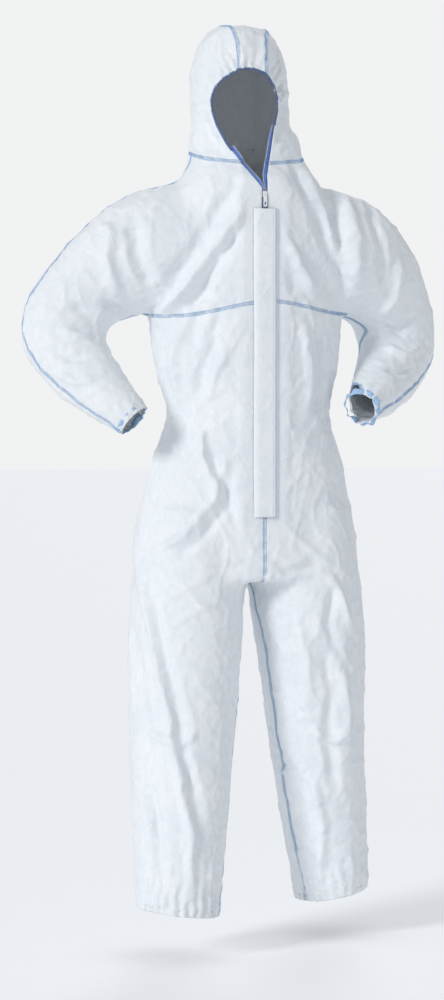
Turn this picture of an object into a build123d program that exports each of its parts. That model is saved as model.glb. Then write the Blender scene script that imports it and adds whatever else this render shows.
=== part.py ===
from build123d import *
import math
import os

# A hooded one-piece protective coverall, kept in the shape that a wearer with hands on hips gives it.
# Millimetres. +Z is up, the front faces -Y and the wearer's left is +X. The origin is between the
# wearer's ankles, on the zip's plane, at the level of the trouser hems.

# Cloth
WALL = 2.0              # stands in for cloth about 0.3 mm thick
THREAD_RISE = 0.8       # overlock thread stands this proud of the cloth
THREAD_WIDTH = 7.0
BINDING_WIDTH = 7.0     # bound elastic round the face
ELASTIC_WIDTH = 12.0    # elastic in the cuffs and ankles
WAIST_ELASTIC_WIDTH = 16.0

# Trunk
FRONT = 122.0           # the flat strip that carries the zip lies this far in front of the zip's axis
FRONT_BULGE = 1.5       # how far the round trunk would stand in front of that flat
CROTCH_HEIGHT = 640.0
HIP_HEIGHT = 700.0
WAIST_HEIGHT = 962.0
CHEST_SEAM_HEIGHT = 1152.0
V_BOTTOM = 1384.0       # where the closed zip ends and the V to the face begins
TRUNK_TOP = 1500.0
HIP_HALF_WIDTH = 226.0
WAIST_HALF_WIDTH = 162.0
CHEST_HALF_WIDTH = 190.0
# height, half width, half depth: the front of each keeps to the flat strip
TRUNK_STATIONS = [
    (CROTCH_HEIGHT, HIP_HALF_WIDTH - 4, 122),
    (HIP_HEIGHT, HIP_HALF_WIDTH, 127),
    (HIP_HEIGHT + 75, HIP_HALF_WIDTH - 14, 126),
    (HIP_HEIGHT + 185, WAIST_HALF_WIDTH + 22, 119),
    (WAIST_HEIGHT, WAIST_HALF_WIDTH, 113),
    (WAIST_HEIGHT + 100, CHEST_HALF_WIDTH - 6, 122),
    (CHEST_SEAM_HEIGHT, CHEST_HALF_WIDTH, 126),
    (CHEST_SEAM_HEIGHT + 100, CHEST_HALF_WIDTH - 6, 125),
    (CHEST_SEAM_HEIGHT + 190, CHEST_HALF_WIDTH - 22, 118),
    (V_BOTTOM + 6, CHEST_HALF_WIDTH - 44, 108),
]
# height, half width, half depth, centre's y: shoulders and neck fall back from the strip
NECK_STATIONS = [
    (1440, 116, 91, -9),
    (1468, 104, 87, -5),
    (TRUNK_TOP, 100, 86, -2),
]

# Neck seam: a plane that falls towards the chin
NECK_SEAM_HEIGHT = 1460.0
NECK_SEAM_TILT = 12.0
NECK_GAP = 1.0          # clear of the turning hood

# Hood, turned a little to the wearer's right
HOOD_YAW = -15.0
CROWN_HALF_WIDTH = 40.0
HOOD_TOP = 1717.0
# height, centre's x and y, half width, half depth
HOOD_STATIONS = [
    (1410, -8, -8, 104, 88),
    (1470, -11, -5, 103, 89),
    (1520, -12, 0, 94, 104),
    (1590, -13, 8, 95, 119),
    (1640, -13, 10, 89, 116),
    (1680, -13, 12, 70, 98),
    (1705, -12, 14, 52, 72),
    (HOOD_TOP, -12, 14, 40, 54),
]

# Face opening: across and up, seen along the hood's own facing, down to the zip's top
FACE_YAW = -17.0
FACE_BROW = 1612.0
FACE_CHEEK = 1555.0
FACE_HALF_WIDTH = 62.0
FACE_CENTRE = -4.0
CHIN_HEIGHT = 1468.0
CHIN_HALF_WIDTH = 38.0
CHIN_SHIFT = 16.0       # the chin lies this far to the wearer's left of the face's middle
V_BOTTOM_HALF_WIDTH = 3.0

# Legs: height, centre's x and y, half width, half depth
LEG_RIGHT = [
    (780, -110, -2, 98, 108),
    (CROTCH_HEIGHT, -118, -6, 108, 118),
    (500, -129, -18, 108, 114),
    (358, -138, -32, 102, 106),
    (180, -151, -62, 91, 96),
    (70, -162, -86, 82, 89),
    (0, -167, -98, 77, 85),
]
LEG_LEFT = [
    (780, 110, 2, 98, 108),
    (CROTCH_HEIGHT, 119, 3, 108, 118),
    (500, 135, 9, 105, 114),
    (358, 148, 19, 95, 106),
    (180, 170, 40, 85, 96),
    (70, 188, 56, 76, 90),
    (0, 196, 64, 68, 86),
]

# Sleeves: centre, half width along the arm's plane, half width across it
SLEEVE_RIGHT = [
    ((-95, 0, 1292), 120, 92),
    ((-190, 0, 1272), 117, 88),
    ((-256, 10, 1240), 103, 80),
    ((-318, 16, 1194), 84, 73),
    ((-362, 16, 1124), 80, 70),
    ((-338, -22, 1050), 68, 61),
    ((-300, -60, 1003), 55, 51),
    ((-258, -90, 957), 38, 38),
]
SLEEVE_LEFT = [
    ((95, 0, 1290), 120, 92),
    ((194, 0, 1268), 117, 88),
    ((262, 28, 1230), 102, 80),
    ((314, 58, 1172), 84, 74),
    ((334, 72, 1100), 78, 72),
    ((298, 20, 1042), 66, 62),
    ((252, -42, 1006), 53, 51),
    ((209, -90, 978), 38, 38),
]
CUFF_LENGTH = 14.0      # straight end of each sleeve, which the cuff elastic goes round
ARMHOLE = 188.0         # the sleeves' own cut starts this far from the zip

# Zip and storm flap
COIL_GAP = 0.6          # half the gap between the two coils, where the slider's post runs
COIL_WIDTH = 2.4
COIL_HEIGHT = 1.8
COIL_LIFT = 0.1         # coil over tape
TAPE_THICKNESS = 0.6
TAPE_EDGE = 15.0        # tape's outer edge from the zip's centre
PANEL_EDGE = 5.5        # cloth edge from the zip's centre
ZIP_BOTTOM = 772.0
STOP_LENGTH = 5.0
SLIDER_LENGTH = 11.0
SLIDER_HALF_WIDTH = 4.4
SLIDER_PLATE = 1.1
SLIDER_CLEARANCE = 0.3
SLIDER_TOP = V_BOTTOM - 1.0
PULL_LENGTH = 24.0
PULL_WIDTH = 7.0
PULL_THICKNESS = 1.2
PIVOT_BAR_RADIUS = 0.65
PIVOT_HOLE_RADIUS = 0.85
PIVOT_OUT = 1.4         # pivot's centre in front of the slider's front plate
PIVOT_DROP = 5.0        # pivot's centre under the slider's top
LUG_HALF_WIDTH = 1.0
LUG_HALF_LENGTH = 2.0
FLAP_GAP = 6.0          # room for the slider under the flap
FLAP_THICKNESS = 1.2
FLAP_FREE_EDGE = -22.0
FLAP_SEWN_EDGE = 15.5
FLAP_BASE_NEAR = 17.0   # sewn base of the flap
FLAP_BASE_FAR = 26.0
FLAP_BELOW_PULL = 4.0   # the flap starts this far under the hanging pull
FLAP_TOP = SLIDER_TOP - PIVOT_DROP - PULL_LENGTH - FLAP_BELOW_PULL
FLAP_BOTTOM = 766.0
LABEL_HALF_WIDTH = 25.0
LABEL_LENGTH = 36.0

FAR = 1500.0


def send(node, shape):
    """Write one piece under its node's name."""
    export_step(shape, f"parts/{node}.step")


def largest(shape):
    """The largest solid of a cut, without the specks that the cut leaves."""
    return max(shape.solids(), key=lambda solid: solid.volume)


def region(x_low, x_high, y_low, y_high, z_low, z_high):
    """A plain block between two corners."""
    block = Box(x_high - x_low, y_high - y_low, z_high - z_low)
    middle = ((x_low + x_high) / 2, (y_low + y_high) / 2, (z_low + z_high) / 2)
    return Pos(*middle) * block


def level_oval(height, x, y, half_width, half_depth, yaw=0.0):
    """A level oval section of a tube."""
    return Plane.XY * Pos(x, y, height) * Rot(0, 0, yaw) * Ellipse(half_width, half_depth)


def trunk(grow):
    """The trunk as a closed solid, flat where the zip lies, larger than the cloth's outside by grow."""
    ovals = []
    for height, half_width, half_depth in TRUNK_STATIONS:
        centre = half_depth - FRONT - FRONT_BULGE
        ovals.append(level_oval(height, 0, centre, half_width + grow, half_depth + grow))
    for height, half_width, half_depth, centre in NECK_STATIONS:
        ovals.append(level_oval(height, 0, centre, half_width + grow, half_depth + grow))
    body = loft(ovals, ruled=True)
    return body & region(-FAR, FAR, -FRONT - grow, FAR, CROTCH_HEIGHT - min(grow, 0), TRUNK_TOP)


def leg(stations, grow):
    """One trouser leg as a closed solid. The inside runs on past the hem, so that the leg is open."""
    ovals = [level_oval(z, x, y, a + grow, b + grow) for z, x, y, a, b in stations]
    if grow < 0:
        z, x, y, a, b = stations[-1]
        ovals.append(level_oval(z - 20, x, y, a + grow, b + grow))
    return loft(ovals, ruled=True)


def sideways(tangent):
    """The level-with-the-front direction across a tube that runs along tangent."""
    return Vector(-tangent.Z, 0, tangent.X).normalized()


def sleeve(stations, grow):
    """One sleeve as a closed solid with a straight cuff. The inside runs on past the cuff."""
    centres = [Vector(*centre) for centre, _, _ in stations]
    ovals = []
    for number, (_, along, deep) in enumerate(stations):
        before = centres[max(number - 1, 0)]
        after = centres[min(number + 1, len(stations) - 1)]
        tangent = (after - before).normalized()
        plane = Plane(origin=centres[number], x_dir=sideways(tangent), z_dir=tangent)
        ovals.append(plane * Ellipse(along + grow, deep + grow))
    run_out = CUFF_LENGTH + (20 if grow < 0 else 0)
    end = Plane(origin=centres[-1] + tangent * run_out, x_dir=sideways(tangent), z_dir=tangent)
    ovals.append(end * Ellipse(along + grow, deep + grow))
    return loft(ovals, ruled=True)


def cuff_band(stations):
    """The space round a sleeve's straight cuff."""
    tangent = (Vector(*stations[-1][0]) - Vector(*stations[-2][0])).normalized()
    near = Plane(origin=Vector(*stations[-1][0]) + tangent * (CUFF_LENGTH - ELASTIC_WIDTH), z_dir=tangent)
    return extrude(near * Circle(1.3 * stations[-1][1]), 2 * ELASTIC_WIDTH)


def arm_front(stations, lift):
    """All space in front of an arm: in front of both its upper arm's and its forearm's middle."""
    shoulder = Vector(*stations[1][0])
    elbow = Vector(*stations[4][0])
    wrist = Vector(*stations[-1][0])
    space = None
    # the upper arm reaches sideways and the forearm hangs, so each is halved along its own way
    for start, end, level in ((shoulder, elbow, Vector(0, 0, 1)), (elbow, wrist, Vector(1, 0, 0))):
        ahead = (end - start).cross(level).normalized()
        if ahead.Y > 0:
            ahead = ahead * -1
        half = extrude(Plane(origin=start, z_dir=ahead).offset(-lift) * Rectangle(4 * FAR, 4 * FAR), FAR)
        space = half if space is None else space & half
    return space


def over_arm(stations):
    """All space on the outer side of an arm's middle line, seen from the front."""
    turn = 1 if stations[0][0][0] > 0 else -1
    line = [(0, stations[0][0][2] + 8)]
    line += [(centre[0], centre[2]) for centre, _, _ in stations]
    last, before = line[-1], line[-2]
    line.append((last[0] + 2 * (last[0] - before[0]), last[1] + 2 * (last[1] - before[1])))
    line += [(turn * FAR, line[-1][1]), (turn * FAR, 2 * FAR), (0, 2 * FAR)]
    return extrude(Plane.XZ * Polygon(*line, align=None), FAR, both=True)


def trousers_solid(grow):
    """Trunk and legs joined as one closed solid."""
    return trunk(grow) + leg(LEG_RIGHT, grow) + leg(LEG_LEFT, grow)


def suit_solid(grow):
    """Trunk, legs and sleeves joined as one closed solid."""
    whole = trousers_solid(grow)
    for stations in (SLEEVE_RIGHT, SLEEVE_LEFT):
        whole = whole + sleeve(stations, grow)
    return whole


def hood_solid(grow):
    """The hood as a closed solid, before the neck seam and the face are cut."""
    ovals = []
    for height, x, y, half_width, half_depth in HOOD_STATIONS:
        height = height + (grow if height == HOOD_TOP else 0)
        ovals.append(level_oval(height, x, y, half_width + grow, half_depth + grow, HOOD_YAW))
    return loft(ovals, ruled=True)


def neck_plane(lift):
    """The neck seam's plane, lifted along its own normal."""
    plane = Plane(origin=(0, 0, NECK_SEAM_HEIGHT), z_dir=Vector(0, 0, 1).rotate(Axis.X, NECK_SEAM_TILT))
    return plane.offset(lift)


def over_neck(lift):
    """All space over the neck seam."""
    return extrude(neck_plane(lift) * Rectangle(FAR, FAR), FAR)


def under_neck(lift):
    """All space under the neck seam."""
    return extrude(neck_plane(lift) * Rectangle(FAR, FAR), -3 * FAR)


def face_prism(margin):
    """The face opening and its V down to the zip, run through the front of the hood and chest."""
    half = FACE_HALF_WIDTH + margin
    chin = CHIN_HALF_WIDTH + margin
    tip = V_BOTTOM_HALF_WIDTH + margin
    # the V's tip stays over the zip, which lies in front of the hood's axis
    tip_centre = -FRONT * math.sin(math.radians(FACE_YAW))
    chin_centre = FACE_CENTRE + CHIN_SHIFT
    brow = FACE_BROW + margin
    with BuildSketch(Plane.XZ) as outline:
        with BuildLine():
            Spline(
                (chin_centre - chin, CHIN_HEIGHT),
                (FACE_CENTRE - half, FACE_CHEEK),
                (FACE_CENTRE, brow),
                (FACE_CENTRE + half, FACE_CHEEK),
                (chin_centre + chin, CHIN_HEIGHT),
            )
            Polyline(
                (chin_centre + chin, CHIN_HEIGHT),
                (tip_centre + tip, V_BOTTOM),
                (tip_centre - tip, V_BOTTOM),
                (chin_centre - chin, CHIN_HEIGHT),
            )
        make_face()
    prism = extrude(outline.sketch, 400)
    return Rot(0, 0, FACE_YAW) * (prism & region(-FAR, FAR, -FAR, -20, 0, 2 * FAR))


def front_space(lift=0.0):
    """All space in front of the side line on the trunk and of each arm's middle on the sleeves."""
    space = region(-ARMHOLE, ARMHOLE, -FAR, lift, 0, 2 * FAR)
    for stations, low, high in ((SLEEVE_RIGHT, -FAR, -ARMHOLE), (SLEEVE_LEFT, ARMHOLE, FAR)):
        space = space + (arm_front(stations, lift) & region(low, high, -FAR, FAR, 0, 2 * FAR))
    return space


def zip_gap():
    """The slot between the front panels' cloth edges, from the zip's bottom to the V."""
    return region(-PANEL_EDGE, PANEL_EDGE, -FAR, -FRONT + 4 * WALL, ZIP_BOTTOM, V_BOTTOM + 1)


def side_space(turn):
    """All space on the wearer's right (-1) or left (1) of the zip's plane."""
    if turn < 0:
        return region(-FAR, 0, -FAR, FAR, -FAR, 2 * FAR)
    return region(0, FAR, -FAR, FAR, -FAR, 2 * FAR)


def cloth_panels(cloth):
    """The six cut panels of the body: chest, back and trousers, each right and left."""
    low = region(-FAR, FAR, -FAR, FAR, -FAR, CHEST_SEAM_HEIGHT)
    trousers = cloth & low & trousers_solid(THREAD_RISE)
    # the forearms hang below the chest seam and belong to the sleeves
    upper = cloth - (low & trousers_solid(THREAD_RISE))
    front = front_space()
    panels = {}
    for side, turn in (("right", -1), ("left", 1)):
        half = side_space(turn)
        panels[f"trouser_{side}"] = largest(trousers & half)
        panels[f"upper_front_{side}"] = largest(upper & half & front)
        panels[f"upper_back_{side}"] = largest((upper & half) - front)
    return panels


def inseam_band(stations):
    """The thin upright space that holds one leg's inseam."""
    half = THREAD_WIDTH / 2
    line = [(y, z) for z, _, y, _, _ in stations if z <= CROTCH_HEIGHT]
    outline = [(y - half, z) for y, z in line] + [(y + half, z) for y, z in reversed(line)]
    turn = 1 if stations[-1][1] > 0 else -1
    return extrude(Plane.YZ * Polygon(*outline, align=None), turn * abs(stations[-1][1]))


def body_threads(skin):
    """Overlock threads of the body's seams, each clear of the ones before it."""
    half = THREAD_WIDTH / 2
    neck = skin & over_neck(-NECK_GAP - THREAD_WIDTH) & under_neck(-NECK_GAP)
    arms = front_space(half) - front_space(-half)
    chest = skin & region(-FAR, FAR, -FAR, FAR, CHEST_SEAM_HEIGHT - half, CHEST_SEAM_HEIGHT + half)
    chest = largest(chest & trunk(3 * THREAD_RISE))
    middle = region(-half, half, -FAR, FAR, CROTCH_HEIGHT, 2 * FAR)
    threads = {"neck_seam": neck, "chest_seam": chest}
    centre = (skin & middle) - neck - chest
    threads["centre_front_seam"] = centre & region(-FAR, FAR, -FAR, 0, 0, ZIP_BOTTOM - 8)
    threads["seat_seam"] = centre & region(-FAR, FAR, 0, FAR, 0, CHEST_SEAM_HEIGHT)
    threads["upper_back_seam"] = centre & region(-FAR, FAR, 0, FAR, CHEST_SEAM_HEIGHT, 2 * FAR)
    for side, turn, sleeve_line, leg_line in (
        ("right", -1, SLEEVE_RIGHT, LEG_RIGHT),
        ("left", 1, SLEEVE_LEFT, LEG_LEFT),
    ):
        along = (skin & arms & side_space(turn)) - neck - chest - cuff_band(sleeve_line)
        outer = over_arm(sleeve_line)
        threads[f"sleeve_top_seam_{side}"] = largest(along & outer)
        beyond = region(*sorted((turn * (ARMHOLE + 6), turn * FAR)), -FAR, FAR, 0, 2 * FAR)
        threads[f"underarm_seam_{side}"] = largest((along & beyond) - outer)
        threads[f"inseam_{side}"] = skin & inseam_band(leg_line)
    return threads


def elastics(skin, lining):
    """Elastic round the cuffs, ankles and waist."""
    pieces = {}
    for side, turn, stations in (("right", -1, SLEEVE_RIGHT), ("left", 1, SLEEVE_LEFT)):
        pieces[f"cuff_elastic_{side}"] = skin & cuff_band(stations)
        ankle = region(-FAR, FAR, -FAR, FAR, 1, 1 + ELASTIC_WIDTH)
        pieces[f"ankle_elastic_{side}"] = lining & ankle & side_space(turn)
    half = WAIST_ELASTIC_WIDTH / 2
    waist = region(-ARMHOLE, ARMHOLE, -FRONT / 2, FAR, WAIST_HEIGHT - half, WAIST_HEIGHT + half)
    pieces["waist_elastic"] = largest(lining & waist)
    return pieces


def zip_halves(cloth_layer, lining):
    """Tape and coil of each half of the zip, open along the V above the slider."""
    edge = face_prism(TAPE_EDGE - PANEL_EDGE) - face_prism(0)
    bead = face_prism(0) - face_prism(-COIL_WIDTH)
    open_part = under_neck(-NECK_GAP) & region(-FAR, FAR, -FAR, 0, V_BOTTOM, 2 * FAR)
    back = -FRONT + WALL
    pieces = {}
    for side, turn in (("right", -1), ("left", 1)):
        near, far = sorted((turn * 1.0, turn * TAPE_EDGE))
        tape = region(near, far, back, back + TAPE_THICKNESS, ZIP_BOTTOM - 8, V_BOTTOM)
        tape = tape + (lining & edge & open_part & side_space(turn))
        pieces[f"zip_tape_{side}"] = tape
        near, far = sorted((turn * COIL_GAP, turn * (COIL_GAP + COIL_WIDTH)))
        front = back - COIL_LIFT - COIL_HEIGHT
        coil = region(near, far, front, front + COIL_HEIGHT, ZIP_BOTTOM + STOP_LENGTH, V_BOTTOM)
        coil = coil + (cloth_layer & bead & open_part & side_space(turn))
        pieces[f"zip_coil_{side}"] = coil
    stop = region(-PANEL_EDGE + 1, PANEL_EDGE - 1, -FRONT, back, ZIP_BOTTOM, ZIP_BOTTOM + STOP_LENGTH - 0.2)
    pieces["zip_bottom_stop"] = stop
    return pieces


def zip_slider():
    """Slider: two plates round the coils, a narrow post between them and a lug for the pull."""
    top = SLIDER_TOP
    low = top - SLIDER_LENGTH
    back = -FRONT + WALL
    coil_front = back - COIL_LIFT - COIL_HEIGHT
    plate_back = coil_front - SLIDER_CLEARANCE
    plate_front = plate_back - SLIDER_PLATE
    rear_front = back + TAPE_THICKNESS + SLIDER_CLEARANCE
    front_plate = region(-SLIDER_HALF_WIDTH, SLIDER_HALF_WIDTH, plate_front, plate_back, low, top)
    rear_plate = region(-SLIDER_HALF_WIDTH, SLIDER_HALF_WIDTH, rear_front, rear_front + SLIDER_PLATE, low, top)
    body = front_plate + rear_plate
    post = COIL_GAP - 0.25
    body = body + region(-post, post, plate_back, rear_front, top - 4, top)
    flange = COIL_GAP + COIL_WIDTH + SLIDER_CLEARANCE
    for turn in (-1, 1):
        near, far = sorted((turn * flange, turn * SLIDER_HALF_WIDTH))
        body = body + region(near, far, plate_back, back - SLIDER_CLEARANCE, low, top)
    pivot = pull_pivot()
    lug = region(
        -LUG_HALF_WIDTH, LUG_HALF_WIDTH, pivot.Y - PIVOT_HOLE_RADIUS - 0.6, plate_front,
        pivot.Z - LUG_HALF_LENGTH, pivot.Z + LUG_HALF_LENGTH,
    )
    hole = Pos(*pivot) * Rot(0, 90, 0) * Cylinder(PIVOT_HOLE_RADIUS, 4 * LUG_HALF_WIDTH)
    return body + lug - hole


def pull_pivot():
    """Centre of the bar that the pull turns on."""
    plate_front = -FRONT + WALL - COIL_LIFT - COIL_HEIGHT - SLIDER_CLEARANCE - SLIDER_PLATE
    return Vector(0, plate_front - PIVOT_OUT, SLIDER_TOP - PIVOT_DROP)


def zip_pull():
    """Pull tab, forked round the slider's lug, with its own bar through the lug's hole."""
    pivot = pull_pivot()
    half = PULL_WIDTH / 2
    fork = LUG_HALF_WIDTH + 0.3
    thick = PULL_THICKNESS / 2
    tab = region(-half, half, -thick, thick, -PULL_LENGTH, 1)
    tab = tab - region(-fork, fork, -FAR, FAR, -LUG_HALF_LENGTH - 1.5, FAR)
    bar = Rot(0, 90, 0) * Cylinder(PIVOT_BAR_RADIUS, PULL_WIDTH)
    hole = region(-half + 2, half - 2, -FAR, FAR, -PULL_LENGTH + 3, -PULL_LENGTH + 9)
    return Pos(*pivot) * (tab + bar - hole)


def storm_flap():
    """The part of the flap that swings: a long strip over the zip."""
    outer = -FRONT - FLAP_GAP - FLAP_THICKNESS
    return region(FLAP_FREE_EDGE, FLAP_SEWN_EDGE, outer, -FRONT - FLAP_GAP, FLAP_BOTTOM, FLAP_TOP)


def flap_base():
    """The flap's folded base on the panel, and its row of thread."""
    outer = -FRONT - FLAP_GAP - FLAP_THICKNESS
    base = region(FLAP_BASE_NEAR, FLAP_BASE_FAR, outer, -FRONT, FLAP_BOTTOM, FLAP_TOP)
    thread = region(
        FLAP_BASE_NEAR + 1, FLAP_BASE_NEAR + 1 + THREAD_WIDTH, outer - THREAD_RISE, outer,
        FLAP_BOTTOM, FLAP_TOP,
    )
    return base, thread


def hood_pieces():
    """Crown strip, two sides, threads, face elastic and the zip's top ends, all on the hood."""
    outside, inside = hood_solid(0), hood_solid(-WALL)
    above = over_neck(NECK_GAP)
    layer = (outside - inside) & above
    cloth = layer - face_prism(0)
    skin = ((hood_solid(THREAD_RISE) - outside) & above) - face_prism(0)
    lining = (inside - hood_solid(-WALL - THREAD_RISE)) & above
    middle_x, middle_y = HOOD_STATIONS[3][1], HOOD_STATIONS[3][2]
    turned = Pos(middle_x, middle_y, 0) * Rot(0, 0, HOOD_YAW)
    strip = turned * region(-CROWN_HALF_WIDTH, CROWN_HALF_WIDTH, -FAR, FAR, 0, 2 * FAR)
    half = THREAD_WIDTH / 2
    # the strip runs over the top and down the back, not under the chin
    crown = max((cloth & strip).solids(), key=lambda part: part.bounding_box().max.Z)
    rest = cloth - crown
    binding_low = CHIN_HEIGHT + 22
    over_chin = region(-FAR, FAR, -FAR, FAR, binding_low, 2 * FAR)
    under_chin = region(-FAR, FAR, -FAR, 0, 0, binding_low - STOP_LENGTH)
    at_chin = region(-FAR, FAR, -FAR, 0, binding_low - STOP_LENGTH, binding_low)
    pieces = {"hood_crown": crown, "hood_face_elastic": skin & face_prism(BINDING_WIDTH) & over_chin}
    edge = face_prism(TAPE_EDGE - PANEL_EDGE) - face_prism(0)
    bead = face_prism(0) - face_prism(-COIL_WIDTH)
    for side, turn in (("right", -1), ("left", 1)):
        pieces[f"hood_side_{side}"] = largest(rest & (turned * side_space(turn)))
        near, far = sorted((turn * (CROWN_HALF_WIDTH - half), turn * (CROWN_HALF_WIDTH + half)))
        line = turned * region(near, far, -FAR, FAR, 0, 2 * FAR)
        seam = (skin & line) - face_prism(BINDING_WIDTH)
        pieces[f"hood_crown_seam_{side}"] = max(seam.solids(), key=lambda part: part.bounding_box().max.Z)
        # at the chin the V's middle lies off the zip's plane, on the hood's own facing
        chin_side = Rot(0, 0, FACE_YAW) * Pos(FACE_CENTRE + CHIN_SHIFT, 0, 0) * side_space(turn)
        pieces[f"hood_zip_tape_{side}"] = largest(lining & edge & under_chin & chin_side)
        pieces[f"hood_zip_coil_{side}"] = largest(layer & bead & under_chin & chin_side)
        pieces[f"zip_top_stop_{side}"] = largest(layer & bead & at_chin & chin_side)
    return pieces


def main():
    """Build every piece and write it under its node's name."""
    os.makedirs("parts", exist_ok=True)
    outside, inside = suit_solid(0), suit_solid(-WALL)
    layer = outside - inside
    cloth = layer - face_prism(0) - over_neck(-NECK_GAP) - zip_gap()
    base_space = region(FLAP_BASE_NEAR, FLAP_BASE_FAR, -FAR, 0, FLAP_BOTTOM, FLAP_TOP)
    skin = (suit_solid(THREAD_RISE) - outside) - face_prism(0) - over_neck(-NECK_GAP) - base_space
    lining = inside - suit_solid(-WALL - THREAD_RISE)
    pieces = cloth_panels(cloth)
    pieces |= body_threads(skin)
    pieces |= elastics(skin, lining)
    pieces |= zip_halves(layer, lining)
    pieces |= hood_pieces()
    pieces["zip_slider"] = zip_slider()
    pieces["zip_pull"] = zip_pull()
    pieces["storm_flap"] = storm_flap()
    pieces["flap_base"], pieces["flap_seam"] = flap_base()
    label_top = NECK_SEAM_HEIGHT - 8
    label = region(-LABEL_HALF_WIDTH, LABEL_HALF_WIDTH, 0, FAR, label_top - LABEL_LENGTH, label_top)
    pieces["neck_label"] = largest(lining & label)
    for node, shape in pieces.items():
        send(node, shape)


main()
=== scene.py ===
"""A hooded protective coverall of white nonwoven, dressed round its fixed frame."""

import logging
import math
from dataclasses import dataclass, field, replace
from enum import Enum
from typing import Callable, Iterable, Sequence

import bmesh
import bpy
import numpy as np
from mathutils import Matrix, Vector, kdtree, noise


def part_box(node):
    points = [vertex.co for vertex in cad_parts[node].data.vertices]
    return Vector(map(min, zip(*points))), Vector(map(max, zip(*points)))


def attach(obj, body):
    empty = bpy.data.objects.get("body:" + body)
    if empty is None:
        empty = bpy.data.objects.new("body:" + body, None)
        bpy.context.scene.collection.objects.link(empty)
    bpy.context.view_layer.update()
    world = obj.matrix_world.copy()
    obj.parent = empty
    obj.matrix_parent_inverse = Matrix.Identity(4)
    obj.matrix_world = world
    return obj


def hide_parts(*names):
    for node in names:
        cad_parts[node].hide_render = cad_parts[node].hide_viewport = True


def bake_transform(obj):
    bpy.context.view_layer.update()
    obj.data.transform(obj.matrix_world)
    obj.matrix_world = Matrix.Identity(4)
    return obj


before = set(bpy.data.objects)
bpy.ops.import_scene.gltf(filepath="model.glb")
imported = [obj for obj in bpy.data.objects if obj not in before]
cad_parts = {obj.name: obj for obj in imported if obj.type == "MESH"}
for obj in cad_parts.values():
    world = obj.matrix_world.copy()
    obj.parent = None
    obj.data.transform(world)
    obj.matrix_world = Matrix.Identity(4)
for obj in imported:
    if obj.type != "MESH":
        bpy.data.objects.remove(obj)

LOG = logging.getLogger("coverall")
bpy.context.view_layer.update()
MM = 0.001

VIEW_TURN = math.radians(17.0)
VIEW_AHEAD = Vector((math.sin(VIEW_TURN), math.cos(VIEW_TURN), 0.0))
VIEW_RIGHT = Vector((math.cos(VIEW_TURN), -math.sin(VIEW_TURN), 0.0))

Rows = Sequence[Sequence[float]]
Height = Callable[[Vector], float]


# ---------------------------------------------------------------- small maths

def smoothstep(value: float, low: float, high: float) -> float:
    """A smooth rise from 0 at low to 1 at high, or a fall where low is above high."""
    share = min(max((value - low) / (high - low), 0.0), 1.0)
    return share * share * (3.0 - 2.0 * share)


def smoothsteps(values: np.ndarray, low: float, high: float) -> np.ndarray:
    """The same rise for an array."""
    share = np.clip((values - low) / (high - low), 0.0, 1.0)
    return share * share * (3.0 - 2.0 * share)


def through(rows: Rows, steps: int) -> list[np.ndarray]:
    """Rows of numbers joined by a smooth curve.

    Args:
        rows: the rows that the curve goes through.
        steps: how many spans lie between two rows.
    Returns:
        The rows and what lies between them, in order.
    """
    table = [np.array(row, float) for row in rows]
    padded = [2 * table[0] - table[1], *table, 2 * table[-1] - table[-2]]
    out = []
    for a, b, c, d in zip(padded, padded[1:], padded[2:], padded[3:]):
        for k in range(steps):
            t = k / steps
            out.append(0.5 * (2 * b + (c - a) * t + (2 * a - 5 * b + 4 * c - d) * t ** 2
                              + (3 * b - a - 3 * c + d) * t ** 3))
    out.append(table[-1])
    return out


def level_ring(x: float, y: float, z: float, half_x: float, half_y: float, yaw: float = 0.0) -> Matrix:
    """The matrix that turns a unit circle into a level oval, with sizes in millimetres."""
    turned = Matrix.Translation(Vector((x, y, z)) * MM) @ Matrix.Rotation(yaw, 4, "Z")
    return turned @ Matrix.Diagonal((half_x * MM, half_y * MM, 1.0, 1.0))


def limb_ring(centre: Vector, ahead: Vector, tall: float, across: float) -> Matrix:
    """The matrix of an oval that stands square to a limb, in metres."""
    side = (Vector((0, 1, 0)) - ahead * ahead.y).normalized()
    up = ahead.cross(side).normalized()
    columns = Matrix((up * tall, side * across, ahead)).transposed().to_4x4()
    return Matrix.Translation(centre) @ columns


# ---------------------------------------------------------------- shader sockets

class Wire:
    """A shader socket that takes part in Python arithmetic."""

    def __init__(self, shop: "Shop", socket: bpy.types.NodeSocket) -> None:
        """Keeps the socket and the material that it belongs to."""
        self.shop = shop
        self.socket = socket

    def maths(self, operation: str, *values: object) -> "Wire":
        """The result of one Math node on these values, in order."""
        node = self.shop.node("ShaderNodeMath", {"operation": operation}, dict(enumerate(values)))
        return Wire(self.shop, node.outputs[0])

    def __add__(self, other: object) -> "Wire":
        """self + other."""
        return self.maths("ADD", self, other)

    __radd__ = __add__

    def __mul__(self, other: object) -> "Wire":
        """self * other."""
        return self.maths("MULTIPLY", self, other)

    __rmul__ = __mul__

    def __sub__(self, other: object) -> "Wire":
        """self - other."""
        return self.maths("SUBTRACT", self, other)

    def __rsub__(self, other: object) -> "Wire":
        """other - self."""
        return self.maths("SUBTRACT", other, self)


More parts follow.
